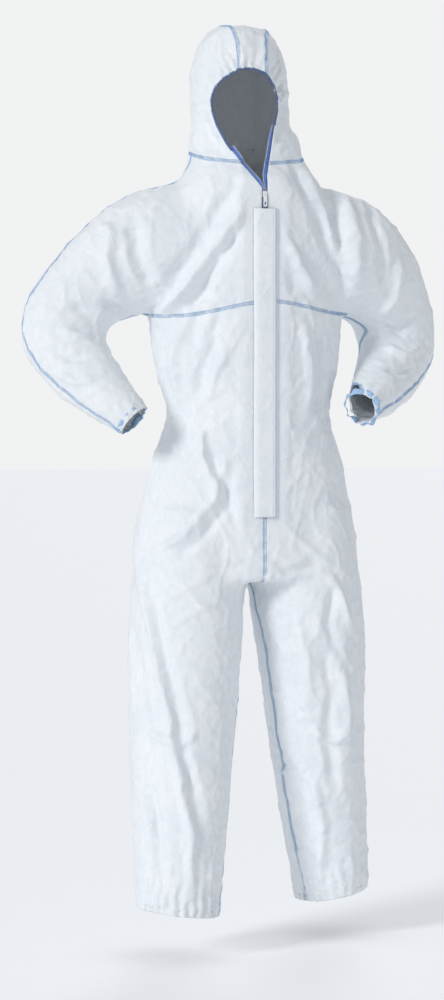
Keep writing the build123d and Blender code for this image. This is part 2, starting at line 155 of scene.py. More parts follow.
class Shop:
    """One material under construction."""

    def __init__(self, name: str, **constants: object) -> None:
        """Makes the material and its main shader.

        Args:
            name: the material's name.
            constants: values that are the same all over, by the shader's socket name.
        """
        self.material = bpy.data.materials.new(name)
        self.material.use_nodes = True
        self.tree = self.material.node_tree
        self.tree.nodes.clear()
        self.shader = self.node("ShaderNodeBsdfPrincipled", {}, constants)
        self.node("ShaderNodeOutputMaterial", {}, {"Surface": self.shader.outputs[0]})

    def node(self, kind: str, settings: dict, sockets: dict) -> bpy.types.Node:
        """Adds any node.

        Args:
            kind: the node's type.
            settings: its own settings, or stops for a ramp.
            sockets: input name or number to a value, a socket or a Wire.
        Returns:
            The node.
        """
        made = self.tree.nodes.new(kind)
        for name, value in settings.items():
            if name == "stops":
                self.set_stops(made, value)
            else:
                setattr(made, name, value)
        for name, value in sockets.items():
            source = value.socket if isinstance(value, Wire) else value
            if isinstance(source, bpy.types.NodeSocket):
                self.tree.links.new(source, made.inputs[name])
            else:
                made.inputs[name].default_value = source
        return made

    @staticmethod
    def set_stops(ramp: bpy.types.Node, stops: Sequence[tuple[float, float]]) -> None:
        """Gives a ramp its grey stops, each a place and a level."""
        while len(ramp.color_ramp.elements) < len(stops):
            ramp.color_ramp.elements.new(0.5)
        for element, (place, level) in zip(ramp.color_ramp.elements, stops):
            element.position = place
            element.color = (level, level, level, 1.0)

    def place(self, stretch: Sequence[float] = (1, 1, 1)) -> bpy.types.NodeSocket:
        """Object coordinates, stretched along each axis."""
        coordinates = self.node("ShaderNodeTexCoord", {}, {})
        mapped = self.node("ShaderNodeMapping", {}, {"Vector": coordinates.outputs["Object"],
                                                     "Scale": tuple(stretch)})
        return mapped.outputs[0]

    def cloud(self, scale: float, detail: float, stretch: Sequence[float] = (1, 1, 1)) -> Wire:
        """A noise between 0 and 1, with its scale in patches to the metre."""
        made = self.node("ShaderNodeTexNoise", {}, {"Vector": self.place(stretch), "Scale": scale,
                                                    "Detail": detail})
        return Wire(self, made.outputs[0])

    def dots(self, scale: float) -> Wire:
        """Distance to the nearest of scattered dots."""
        made = self.node("ShaderNodeTexVoronoi", {}, {"Vector": self.place(), "Scale": scale,
                                                      "Randomness": 0.35})
        return Wire(self, made.outputs["Distance"])

    def waves(self, scale: float, axis: str) -> Wire:
        """Even ribs across one axis."""
        made = self.node("ShaderNodeTexWave", {"bands_direction": axis},
                         {"Vector": self.place(), "Scale": scale})
        return Wire(self, made.outputs["Fac"])

    def ramp(self, value: Wire, stops: Sequence[tuple[float, float]]) -> Wire:
        """A value through a grey ramp."""
        made = self.node("ShaderNodeValToRGB", {"stops": stops}, {"Fac": value})
        return Wire(self, made.outputs[0])

    def blend(self, share: Wire, first: Sequence[float], second: Sequence[float]) -> bpy.types.NodeSocket:
        """A colour between two."""
        made = self.node("ShaderNodeMix", {"data_type": "RGBA"},
                         {"Factor": share, 6: (*first, 1.0), 7: (*second, 1.0)})
        return made.outputs[2]

    def finish(self, colour: bpy.types.NodeSocket, rough: Wire, reliefs: Sequence[tuple[Wire, float]]
               ) -> bpy.types.Material:
        """Joins colour, roughness and relief to the shader.

        Args:
            colour: the base colour.
            rough: the roughness.
            reliefs: pairs of a height from 0 to 1 and how deep it is, in metres.
        Returns:
            The material.
        """
        normal = None
        for height, deep in reliefs:
            sockets = {"Height": height, "Distance": deep, "Strength": 1.0}
            if normal is not None:
                sockets["Normal"] = normal
            normal = self.node("ShaderNodeBump", {}, sockets).outputs[0]
        for name, value in (("Base Color", colour), ("Roughness", rough.socket), ("Normal", normal)):
            if value is not None:
                self.tree.links.new(value, self.shader.inputs[name])
        return self.material


@dataclass(frozen=True)
class NonwovenCloth:
    """White spunbond cloth: matt, faintly mottled, with fine bonded points and a soft crumple."""

    name: str = "nonwoven_cloth"
    bright: tuple[float, float, float] = (0.86, 0.885, 0.905)
    dull: tuple[float, float, float] = (0.765, 0.81, 0.85)
    points_per_metre: float = 620.0

    def material(self) -> bpy.types.Material:
        """Builds the material."""
        shop = Shop(self.name, **{"Sheen Weight": 0.12, "Specular IOR Level": 0.32})
        mottle = shop.cloud(14.0, 5.0)
        patches = shop.cloud(95.0, 4.0, (1.0, 1.0, 0.6))
        fibres = shop.cloud(520.0, 3.0, (1.0, 1.0, 0.45))
        share = shop.ramp(mottle * 0.36 + patches * 0.42 + fibres * 0.22, [(0.34, 0.0), (0.62, 1.0)])
        rough = 0.62 + mottle * 0.2
        crumple = shop.cloud(30.0, 5.0)
        creases = shop.ramp(shop.cloud(17.0, 2.0), [(0.44, 0.0), (0.5, 1.0), (0.56, 0.0)])
        bonded = shop.ramp(shop.dots(self.points_per_metre), [(0.18, 0.0), (0.42, 1.0)])
        return shop.finish(shop.blend(share, self.dull, self.bright), rough,
                           [(crumple, 0.0016), (creases, 0.0005), (patches, 0.0005), (fibres, 0.00014),
                            (bonded, 0.00007)])


@dataclass(frozen=True)
class Thread:
    """Textured overlock yarn with its twist."""

    name: str = "overlock_thread"
    light: tuple[float, float, float] = (0.47, 0.66, 0.86)
    deep: tuple[float, float, float] = (0.22, 0.42, 0.72)

    def material(self) -> bpy.types.Material:
        """Builds the material."""
        shop = Shop(self.name, **{"Sheen Weight": 0.3})
        twist = shop.cloud(900.0, 2.0)
        patch = shop.cloud(26.0, 3.0)
        return shop.finish(shop.blend(twist * 0.6 + patch * 0.4, self.deep, self.light),
                           0.5 + twist * 0.25, [(twist, 0.00025)])


@dataclass(frozen=True)
class WovenTape:
    """Woven tape or binding, with ribs across its length."""

    name: str
    light: tuple[float, float, float]
    deep: tuple[float, float, float]
    ribs: float = 420.0

    def material(self) -> bpy.types.Material:
        """Builds the material."""
        shop = Shop(self.name, **{"Sheen Weight": 0.15})
        ribs = shop.waves(self.ribs, "Z")
        yarn = shop.waves(self.ribs, "X")
        wear = shop.cloud(55.0, 5.0)
        share = shop.ramp(wear * 0.55 + ribs * 0.3 + yarn * 0.15, [(0.25, 0.0), (0.75, 1.0)])
        return shop.finish(shop.blend(share, self.deep, self.light), 0.55 + wear * 0.25,
                           [(ribs + yarn, 0.00012)])


@dataclass(frozen=True)
class Moulded:
    """Nylon or lacquered metal, with fine scuffs."""

    name: str
    light: tuple[float, float, float]
    deep: tuple[float, float, float]
    rough: float
    metallic: float = 0.0

    def material(self) -> bpy.types.Material:
        """Builds the material."""
        shop = Shop(self.name, **{"Metallic": self.metallic, "Coat Weight": 0.25})
        scuff = shop.cloud(240.0, 6.0)
        patch = shop.cloud(60.0, 2.0)
        return shop.finish(shop.blend(scuff * 0.5 + patch * 0.5, self.deep, self.light),
                           self.rough + scuff * 0.2, [(scuff, 0.00004)])


class Finish(Enum):
    """The finishes of the coverall, each by its material slot in the record."""

    CLOTH = "cloth"
    THREAD = "thread"
    BINDING = "binding"
    ELASTIC = "elastic"
    TAPE = "tape"
    COIL = "coil"
    SLIDER = "slider"
    LABEL = "label"


class Wardrobe:
    """Makes every material once and dresses pieces in them."""

    def __init__(self) -> None:
        """Builds one material for each finish."""
        self.materials = {
            Finish.CLOTH: NonwovenCloth().material(),
            Finish.THREAD: Thread().material(),
            Finish.BINDING: WovenTape("face_binding", (0.13, 0.21, 0.42), (0.05, 0.08, 0.2)).material(),
            Finish.ELASTIC: WovenTape("white_elastic", (0.86, 0.88, 0.9), (0.7, 0.74, 0.79)).material(),
            Finish.TAPE: WovenTape("zip_tape", (0.16, 0.31, 0.74), (0.07, 0.16, 0.5)).material(),
            Finish.COIL: Moulded("zip_coil", (0.84, 0.88, 0.93), (0.7, 0.76, 0.86), 0.3).material(),
            Finish.SLIDER: Moulded("white_lacquer", (0.88, 0.9, 0.91), (0.78, 0.8, 0.83), 0.25).material(),
            Finish.LABEL: WovenTape("satin_label", (0.93, 0.93, 0.92), (0.85, 0.86, 0.86),
                                    600.0).material(),
        }

    def dress(self, piece: bpy.types.Object, finish: Finish) -> None:
        """Gives a new piece its only material."""
        piece.data.materials.clear()
        piece.data.materials.append(self.materials[finish])

    def repaint(self, node: str, finish: Finish) -> None:
        """Gives a kept frame node a better material through its slots."""
        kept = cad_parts[node]
        if not kept.material_slots:
            kept.data.materials.append(self.materials[finish])
        for holder in kept.material_slots:
            holder.material = self.materials[finish]


# ---------------------------------------------------------------- the whole form

@dataclass(frozen=True)
class Fold:
    """One fold in the cloth, as seen from the front.

    points are pairs of a sideways place and a height in millimetres, half_width is how far the fold
    reaches to each side, and rise is how far it stands out, or in where it is negative.
    """

    points: tuple[tuple[float, float], ...]
    half_width: float
    rise: float
    sharp: float = 1.6

    def lift(self, across: np.ndarray, height: np.ndarray) -> np.ndarray:
        """How far each point is lifted, in millimetres."""
        best = np.full(len(across), 1e9)
        along = np.zeros(len(across))
        legs = [math.hypot(b[0] - a[0], b[1] - a[1]) for a, b in zip(self.points, self.points[1:])]
        total, gone = sum(legs), 0.0
        for (ax, az), (bx, bz), leg in zip(self.points, self.points[1:], legs):
            share = np.clip(((across - ax) * (bx - ax) + (height - az) * (bz - az)) / leg ** 2, 0, 1)
            far = np.hypot(across - ax - share * (bx - ax), height - az - share * (bz - az))
            nearer = far < best
            best = np.where(nearer, far, best)
            along = np.where(nearer, (gone + share * leg) / total, along)
            gone += leg
        bell = np.clip(1 - best / self.half_width, 0, 1)
        ends = smoothsteps(along, 0.0, 0.18) * smoothsteps(along, 1.0, 0.82)
        return self.rise * (bell * bell * (3 - 2 * bell)) ** (self.sharp * 0.6) * (0.25 + 0.75 * ends)


FRONT_FOLDS = (
    Fold(((17, 1374), (-49, 1286), (-116, 1197), (-171, 1144)), 21, 11),
    Fold(((-6, 1330), (-70, 1225), (-128, 1150)), 24, -9),
    Fold(((-20, 1395), (-85, 1290), (-150, 1200)), 24, -6),
    Fold(((89, 1446), (135, 1340), (186, 1210)), 16, -7),
    Fold(((104, 1440), (150, 1340), (196, 1230)), 12, 6),
    Fold(((163, 1379), (180, 1290), (190, 1197)), 15, -12),
    Fold(((186, 1390), (212, 1300), (215, 1200)), 18, 6),
    Fold(((53, 1343), (90, 1265), (133, 1186)), 16, 7),
    Fold(((40, 1330), (70, 1250), (104, 1180)), 20, -5),
    Fold(((11, 1150), (-20, 1100), (-55, 1041)), 9, 3.5),
    Fold(((-50, 1160), (-62, 1100), (-84, 1040), (-90, 985)), 14, -5),
    Fold(((-14, 1146), (-44, 1080), (-70, 990)), 10, 3),
    Fold(((-100, 1200), (-92, 1150), (-110, 1080)), 20, -5),
    Fold(((-60, 1290), (-84, 1220), (-72, 1165)), 26, -6),
    Fold(((-215, 1330), (-206, 1270), (-178, 1200)), 24, -9),
    Fold(((-255, 1330), (-262, 1250), (-242, 1180)), 20, 7),
    Fold(((-325, 1165), (-308, 1158), (-296, 1148)), 13, -7),
    Fold(((-270, 1174), (-240, 1156), (-213, 1134)), 13, -7),
    Fold(((-350, 1120), (-318, 1108), (-290, 1112)), 12, 6),
    Fold(((-366, 1085), (-330, 1066), (-296, 1070)), 12, -6),
    Fold(((-360, 1040), (-322, 1020), (-280, 1030)), 11, 5),
    Fold(((95, 900), (120, 898), (144, 897)), 6, 3),
    Fold(((-186, 695), (-80, 680), (38, 672)), 6, 2.4),
    Fold(((-158, 513), (-132, 512), (-106, 515)), 6, 2.4),
    Fold(((-211, 686), (-186, 595), (-161, 467), (-146, 407), (-135, 340), (-104, 175), (-103, 59)), 15, 8),
    Fold(((-186, 640), (-160, 520), (-136, 430), (-118, 320), (-82, 180)), 20, -6),
    Fold(((-232, 600), (-206, 470), (-190, 330), (-160, 150)), 22, -5),
    Fold(((-150, 610), (-100, 640), (-60, 660)), 10, 3),
    Fold(((-140, 560), (-100, 585), (-70, 600)), 9, 3),
    Fold(((-40, 880), (-60, 800), (-120, 730), (-175, 700)), 12, 6),
    Fold(((-26, 860), (-40, 780), (-90, 720), (-140, 690)), 14, -6),
    Fold(((-70, 905), (-52, 850), (-30, 800), (-22, 752)), 13, -8),
    Fold(((-84, 930), (-80, 880), (-62, 830)), 11, 8),
    Fold(((60, 760), (110, 715), (166, 670)), 8, 3.5),
    Fold(((46, 690), (80, 660), (140, 672), (184, 655)), 10, -4),
    Fold(((163, 650), (184, 600), (199, 547)), 12, 9),
    Fold(((186, 475), (194, 400), (196, 323)), 13, 6),
    Fold(((150, 520), (166, 430), (160, 330), (176, 220)), 20, -6),
    Fold(((100, 560), (120, 480), (118, 380)), 22, 5),
    Fold(((172, 640), (158, 560), (176, 500)), 14, -7),
    Fold(((51, 686), (110, 678), (177, 667)), 8, 2.6),
    Fold(((70, 300), (100, 240), (110, 120)), 20, -6),
    Fold(((130, 260), (150, 160), (146, 60)), 16, 6),
    Fold(((-200, 280), (-170, 190), (-160, 80)), 18, -6),
    Fold(((-190, 360), (-120, 340), (-96, 360)), 14, 5),
    Fold(((130, 350), (170, 330), (200, 350)), 14, 5),
    Fold(((36, 1130), (44, 1000), (40, 860), (34, 780)), 14, 9),
    Fold(((64, 1120), (70, 1000), (62, 880)), 15, -5),
    Fold(((110, 1140), (124, 1040), (118, 960)), 14, 5),
    Fold(((140, 1130), (150, 1040), (140, 970)), 10, -6),
    Fold(((-130, 1130), (-140, 1050), (-118, 970)), 16, 5),
    Fold(((236, 1370), (262, 1290), (268, 1200)), 14, -6),
    Fold(((300, 1260), (290, 1190), (260, 1150)), 14, 7),
    Fold(((330, 1150), (300, 1120), (262, 1130)), 12, -7),
    Fold(((344, 1090), (310, 1076), (272, 1090)), 12, 6),
    Fold(((330, 1050), (300, 1040), (270, 1050)), 10, -6),
    Fold(((-60, 1690), (-74, 1620), (-80, 1560)), 14, -3),
    Fold(((70, 1680), (80, 1610), (76, 1530)), 12, -4),
    Fold(((-84, 1530), (-70, 1490), (-40, 1450)), 16, -5),
    Fold(((-100, 1500), (-92, 1470), (-70, 1445)), 11, 4),
    Fold(((80, 1560), (66, 1510), (60, 1470)), 10, -4),
)

BACK_FOLDS = (
    Fold(((-150, 1380), (-60, 1300), (40, 1240)), 26, -8),
    Fold(((-190, 1300), (-90, 1230), (20, 1200)), 22, 7),
    Fold(((150, 1380), (70, 1290), (-20, 1220)), 26, -7),
    Fold(((190, 1290), (110, 1210), (30, 1170)), 20, 7),
    Fold(((-100, 1130), (-70, 1050), (-80, 980)), 14, 6),
    Fold(((-40, 1130), (-24, 1050), (-30, 980)), 14, -5),
    Fold(((30, 1140), (36, 1050), (24, 985)), 14, 6),
    Fold(((90, 1120), (80, 1040), (90, 980)), 14, -5),
    Fold(((-120, 900), (-90, 820), (-20, 740)), 20, 7),
    Fold(((120, 900), (90, 820), (30, 740)), 20, 7),
    Fold(((-60, 900), (-40, 830), (-6, 760)), 15, -6),
    Fold(((60, 900), (40, 830), (8, 760)), 15, -6),
    Fold(((-190, 640), (-120, 600), (-40, 620)), 16, -7),
    Fold(((190, 640), (120, 600), (40, 620)), 16, -7),
    Fold(((-200, 520), (-150, 460), (-90, 480)), 18, 6),
    Fold(((200, 520), (150, 460), (100, 480)), 18, 6),
    Fold(((-180, 400), (-150, 370), (-100, 390)), 14, -7),
    Fold(((180, 400), (150, 370), (110, 390)), 14, -7),
    Fold(((-180, 330), (-150, 300), (-100, 330)), 14, 6),
    Fold(((200, 330), (160, 300), (120, 330)), 14, 6),
    Fold(((-170, 240), (-150, 160), (-150, 60)), 18, -6),
    Fold(((190, 240), (180, 160), (190, 60)), 18, -6),
    Fold(((-300, 1180), (-340, 1140), (-380, 1150)), 14, -7),
    Fold(((300, 1170), (330, 1130), (360, 1140)), 14, -7),
)


@dataclass
class SuitForm:
    """The worn shape of the whole suit as one skin, before it is cut into its panels.

    Rows hold millimetres. Trunk rows are height, half width, half depth; neck and hood rows are
    height, centre x, centre y, half width, half depth; leg rows are height, x, y, half x, half y;
    sleeve rows are x, y, z, half height, half depth.
    """

    front: float = 122.0
    bulge: float = 1.5
    voxel: float = 9.0 * MM
    cuff_reach: float = 55.0 * MM
    hem_reach: float = 130.0 * MM
    fold_scale: float = 1.7
    top_flat: float = 1690.0 * MM
    buckle: float = 6.0 * MM
    zip_bottom: float = 772.0 * MM
    zip_top: float = 1384.0 * MM
    zip_edge: float = 5.5 * MM
    trunk: Rows = ((640, 222, 122), (700, 226, 127), (775, 212, 126), (885, 184, 119), (962, 162, 113),
                   (1062, 184, 122), (1152, 190, 126), (1252, 184, 125), (1342, 168, 118), (1390, 146, 108))
    neck: Rows = ((1440, 0, -9, 116, 91), (1468, 0, -5, 104, 87), (1500, 0, -2, 100, 86))
    hood: Rows = ((1410, -8, -8, 104, 88), (1470, -11, -5, 103, 89), (1520, -12, 0, 94, 104),
                  (1590, -13, 8, 95, 119), (1640, -13, 10, 89, 116), (1680, -13, 12, 70, 98),
                  (1705, -12, 14, 52, 72), (1717, -12, 14, 40, 54))
    hood_yaw: float = math.radians(-15.0)
    leg_right: Rows = ((780, -110, -2, 98, 108), (640, -118, -6, 108, 118), (500, -129, -18, 108, 114),
                       (358, -138, -32, 102, 106), (180, -151, -62, 91, 96), (70, -162, -86, 82, 89),
                       (-16, -167, -99, 76, 84))
    leg_left: Rows = ((780, 110, 2, 98, 108), (640, 119, 3, 108, 118), (500, 135, 9, 105, 114),
                      (358, 148, 19, 95, 106), (180, 170, 40, 85, 96), (70, 188, 56, 76, 90),
                      (-16, 197, 66, 68, 85))
    sleeve_right: Rows = ((-95, 0, 1292, 120, 92), (-190, 0, 1272, 117, 88), (-256, 10, 1240, 103, 80),
                          (-318, 16, 1194, 84, 73), (-362, 16, 1124, 80, 70), (-338, -22, 1050, 68, 61),
                          (-300, -60, 1003, 55, 51), (-258, -90, 957, 38, 38), (-246, -99, 943, 37, 37))
    sleeve_left: Rows = ((95, 0, 1290, 120, 92), (194, 0, 1268, 117, 88), (262, 28, 1230, 102, 80),
                         (314, 58, 1172, 84, 74), (334, 72, 1100, 78, 72), (298, 20, 1042, 66, 62),
                         (252, -42, 1006, 53, 51), (209, -90, 978, 38, 38), (198, -103, 971, 37, 37))
    cuffs: tuple = (((-249.5, -96.1, 947.7), (0.6075, -0.4339, -0.6653)),
                    ((200.4, -99.6, 972.4), (-0.6117, -0.6828, -0.3983)))
    hems: tuple = (((-167, -98, 18), (-0.115, 0, -1)), ((196, 64, 16), (0.2, 0, -1)))

    def tubes(self) -> bmesh.types.BMesh:
        """Every tube of the suit, closed and overlapping."""
        bm = bmesh.new()
        body = [(z, 0.0, deep - self.front - self.bulge, wide, deep) for z, wide, deep in self.trunk]
        rows = through([*body, *self.neck], 4)
        self.tube(bm, [level_ring(x, y, z, a, b) for z, x, y, a, b in rows])
        self.tube(bm, [level_ring(x, y, z, a, b, self.hood_yaw) for z, x, y, a, b in through(self.hood, 4)])
        for leg in (self.leg_right, self.leg_left):
            self.tube(bm, [level_ring(x, y, z, a, b) for z, x, y, a, b in through(leg, 5)])
        for sleeve in (self.sleeve_right, self.sleeve_left):
            rows = [row * MM for row in through(sleeve, 5)]
            centres = [Vector(row[:3]) for row in rows]
            ways = [(after - before).normalized() for before, after
                    in zip([centres[0], *centres], [*centres[1:], centres[-1]])]
            self.tube(bm, [limb_ring(c, w, row[3], row[4]) for c, w, row in zip(centres, ways, rows)])
        bmesh.ops.recalc_face_normals(bm, faces=bm.faces)
        return bm

    @staticmethod
    def tube(bm: bmesh.types.BMesh, rings: Sequence[Matrix], sides: int = 48) -> None:
        """Adds one closed tube through a row of ovals."""
        loops = []
        for ring in rings:
            made = bmesh.ops.create_circle(bm, cap_ends=False, segments=sides, radius=1.0, matrix=ring)
            loops.append(list({edge for vert in made["verts"] for edge in vert.link_edges}))
        for lower, upper in zip(loops, loops[1:]):
            bmesh.ops.bridge_loops(bm, edges=lower + upper)
        for end in (loops[0], loops[-1]):
            bmesh.ops.contextual_create(bm, geom=end)

    def skin(self) -> bpy.types.Object:
        """One closed skin round all the tubes."""
        bm = self.tubes()
        rough = object_from(bm, "suit_form")
        remesh = rough.modifiers.new("skin", "REMESH")
        remesh.mode = "VOXEL"
        remesh.voxel_size = self.voxel
        apply_modifiers(rough)
        bm = bmesh.new()
        bm.from_mesh(rough.data)
        for _ in range(5):
            bmesh.ops.smooth_vert(bm, verts=bm.verts, factor=0.5, use_axis_x=True, use_axis_y=True,
                                  use_axis_z=True)
        self.open_ends(bm)
        bm.to_mesh(rough.data)
        bm.free()
        return rough

    def open_ends(self, bm: bmesh.types.BMesh) -> None:
        """Cuts the cuffs and hems open."""
        for centre, way in (*self.cuffs, *self.hems):
            point, normal = Vector(centre) * MM, Vector(way).normalized()
            reach = self.cuff_reach if abs(normal.z) < 0.9 else self.hem_reach
            cut(bm, self.round_end(bm, point, normal, reach), point, normal)
            gone = [f for f in self.round_end(bm, point, normal, reach)
                    if (f.calc_center_median() - point).dot(normal) > 1e-6]
            bmesh.ops.delete(bm, geom=gone, context="FACES")

    @staticmethod
    def round_end(bm: bmesh.types.BMesh, point: Vector, normal: Vector, reach: float) -> list:
        """The faces round one open end, within reach of its middle line."""
        out = []
        for face in bm.faces:
            away = face.calc_center_median() - point
            along = away.dot(normal)
            if abs(along) < 0.06 and (away - normal * along).length < reach:
                out.append(face)
        return out

    def flatten_front(self, places: np.ndarray) -> None:
        """Keeps the strip that carries the zip flat and straight."""
        near = smoothsteps(np.abs(places[:, 0]), 0.06, 0.026) * (places[:, 1] < 0)
        near *= smoothsteps(places[:, 2], 0.70, 0.765) * smoothsteps(places[:, 2], 1.43, 1.385)
        places[:, 1] += near * (-self.front * MM - places[:, 1])

    def drape(self, places: np.ndarray, normals: np.ndarray) -> np.ndarray:
        """Lays the large folds into the skin.

        Args:
            places: the skin's points.
            normals: its outward directions.
        Returns:
            The new points.
        """
        ahead, right = np.array(VIEW_AHEAD), np.array(VIEW_RIGHT)
        across, height = places @ right / MM, places[:, 2] / MM
        facing = smoothsteps(-(normals @ ahead), 0.0, 0.45)
        lift = np.zeros(len(places))
        for fold in FRONT_FOLDS:
            lift += fold.lift(across, height) * facing
        behind = smoothsteps(normals[:, 1], 0.1, 0.5)
        for fold in BACK_FOLDS:
            lift += fold.lift(places[:, 0] / MM, height) * behind
        return places + normals * (lift * self.fold_scale * MM)[:, None]

    def settle(self, skin: bpy.types.Object, hold: np.ndarray) -> None:
        """Lets the cloth buckle a little, held to its shape.

        Args:
            skin: the whole skin.
            hold: how firmly each point keeps its place, from 0 to 1.
        """
        group = skin.vertex_groups.new(name="hold")
        for level in range(1, 11):
            chosen = np.nonzero(np.round(hold * 10) == level)[0].tolist()
            group.add(chosen, level / 10, "REPLACE")
        cloth = skin.modifiers.new("settle", "CLOTH")
        made = cloth.settings
        made.quality = 5
        made.mass = 0.25
        made.tension_stiffness = 30
        made.compression_stiffness = 30
        made.shear_stiffness = 12
        made.bending_stiffness = 1.2
        made.vertex_group_mass = "hold"
        made.pin_stiffness = 2.0
        made.shrink_min = -0.035
        made.effector_weights.gravity = 0.0
        cloth.point_cache.frame_start, cloth.point_cache.frame_end = 1, 16
        for moment in range(1, 17):
            bpy.context.scene.frame_set(moment)
        apply_modifiers(skin)
        bpy.context.scene.frame_set(1)

    def hold_map(self, places: np.ndarray) -> np.ndarray:
        """How firmly each point of the skin is held while the cloth settles."""
        hold = np.full(len(places), 0.4)
        strip = (np.abs(places[:, 0]) < 0.03) & (places[:, 1] < 0) & (places[:, 2] > 0.75)
        hold[strip & (places[:, 2] < 1.42)] = 1.0
        for centre, way in (*self.cuffs, *self.hems):
            depth = (places - np.array(centre) * MM) @ -np.array(Vector(way).normalized())
            close = np.linalg.norm(places - np.array(centre) * MM, axis=1) < 0.13
            hold[close & (depth < 0.018)] = 1.0
        hood = places[:, 2] > 1.5
        hold[hood] = 0.6
        return hold

    def make(self) -> bpy.types.Object:
        """Builds, drapes and settles the skin, then doubles its fineness."""
        skin = self.skin()
        places, normals = read_points(skin)
        places = self.drape(places, normals)
        over = np.maximum(places[:, 2] - self.top_flat, 0.0)
        places[:, 2] -= over * 0.5
        self.flatten_front(places)
        write_points(skin, places)
        before = places.copy()
        self.settle(skin, self.hold_map(places))
        places, _ = read_points(skin)
        moved = places - before
        far = np.linalg.norm(moved, axis=1, keepdims=True)
        places = before + moved * np.minimum(1.0, self.buckle / np.maximum(far, 1e-9))
        write_points(skin, places)
        finer = skin.modifiers.new("finer", "SUBSURF")
        finer.levels = finer.render_levels = 1
        apply_modifiers(skin)
        places, normals = read_points(skin)
        self.crumple(places, normals)
        self.flatten_front(places)
        write_points(skin, places)
        return skin

    @staticmethod
    def crumple(places: np.ndarray, normals: np.ndarray) -> None:
        """Adds the small creases of handled cloth."""
        for index, (place, normal) in enumerate(zip(places, normals)):
            spot = Vector(place)
            broad = noise.noise(Vector((spot.x * 9, spot.y * 9, spot.z * 5)))
            fine = Vector((spot.x * 21, spot.y * 21, spot.z * 13)) + Vector((7, 3, 1))
            ridge = 1 - abs(noise.noise(fine))
            places[index] = place + normal * (0.0016 * broad + 0.0026 * (ridge ** 8 - 0.3))


def object_from(bm: bmesh.types.BMesh, name: str) -> bpy.types.Object:
    """Turns a bmesh into an object in the scene, and frees it."""
    mesh = bpy.data.meshes.new(name)
    bm.to_mesh(mesh)
    bm.free()
    made = bpy.data.objects.new(name, mesh)
    bpy.context.scene.collection.objects.link(made)
    return made


def apply_modifiers(piece: bpy.types.Object) -> None:
    """Bakes a piece's modifiers into its mesh."""
    graph = bpy.context.evaluated_depsgraph_get()
    graph.update()
    baked = bpy.data.meshes.new_from_object(piece.evaluated_get(graph))
    piece.modifiers.clear()
    piece.data = baked


def read_points(piece: bpy.types.Object) -> tuple[np.ndarray, np.ndarray]:
    """A mesh's points and outward directions."""
    count = len(piece.data.vertices)
    places, normals = np.empty(count * 3), np.empty(count * 3)
    piece.data.vertices.foreach_get("co", places)
    piece.data.vertices.foreach_get("normal", normals)
    return places.reshape(-1, 3), normals.reshape(-1, 3)


def write_points(piece: bpy.types.Object, places: np.ndarray) -> None:
    """Moves a mesh's points."""
    piece.data.vertices.foreach_set("co", places.ravel())
    piece.data.update()


def cut(bm: bmesh.types.BMesh, faces: Iterable[bmesh.types.BMFace], point: Vector, normal: Vector) -> dict:
    """Cuts these faces along a plane, and removes nothing."""
    faces = list(faces)
    edges = {edge for face in faces for edge in face.edges}
    verts = {vert for face in faces for vert in face.verts}
    return bmesh.ops.bisect_plane(bm, geom=[*verts, *edges, *faces], dist=2e-5, plane_co=point,
                                  plane_no=normal)


def cut_along(bm: bmesh.types.BMesh, faces: Iterable[bmesh.types.BMFace], axis: int,
              height: Height) -> None:
    """Cuts faces where one coordinate equals a smooth height of the two others.

    Args:
        bm: the mesh.
        faces: the faces that may be cut.
        axis: which coordinate.
        height: gives that coordinate's value on the cut.
    """
    faces = list(faces)
    verts = {vert for face in faces for vert in face.verts}
    for vert in verts:
        vert.co[axis] -= height(vert.co)
    normal = Vector((0, 0, 0))
    normal[axis] = 1.0
    made = cut(bm, faces, Vector((0, 0, 0)), normal)
    verts |= {item for item in made["geom_cut"] if isinstance(item, bmesh.types.BMVert)}
    for vert in verts:
        vert.co[axis] += height(vert.co)


# ---------------------------------------------------------------- panels and seams

class Panel(Enum):
    """The nine cloth panels."""

    TROUSER_LEFT = "trouser_left"
    TROUSER_RIGHT = "trouser_right"
    FRONT_LEFT = "upper_front_left"
    FRONT_RIGHT = "upper_front_right"
    BACK_LEFT = "upper_back_left"
    BACK_RIGHT = "upper_back_right"
    HOOD_LEFT = "hood_side_left"
    HOOD_RIGHT = "hood_side_right"
    CROWN = "hood_crown"


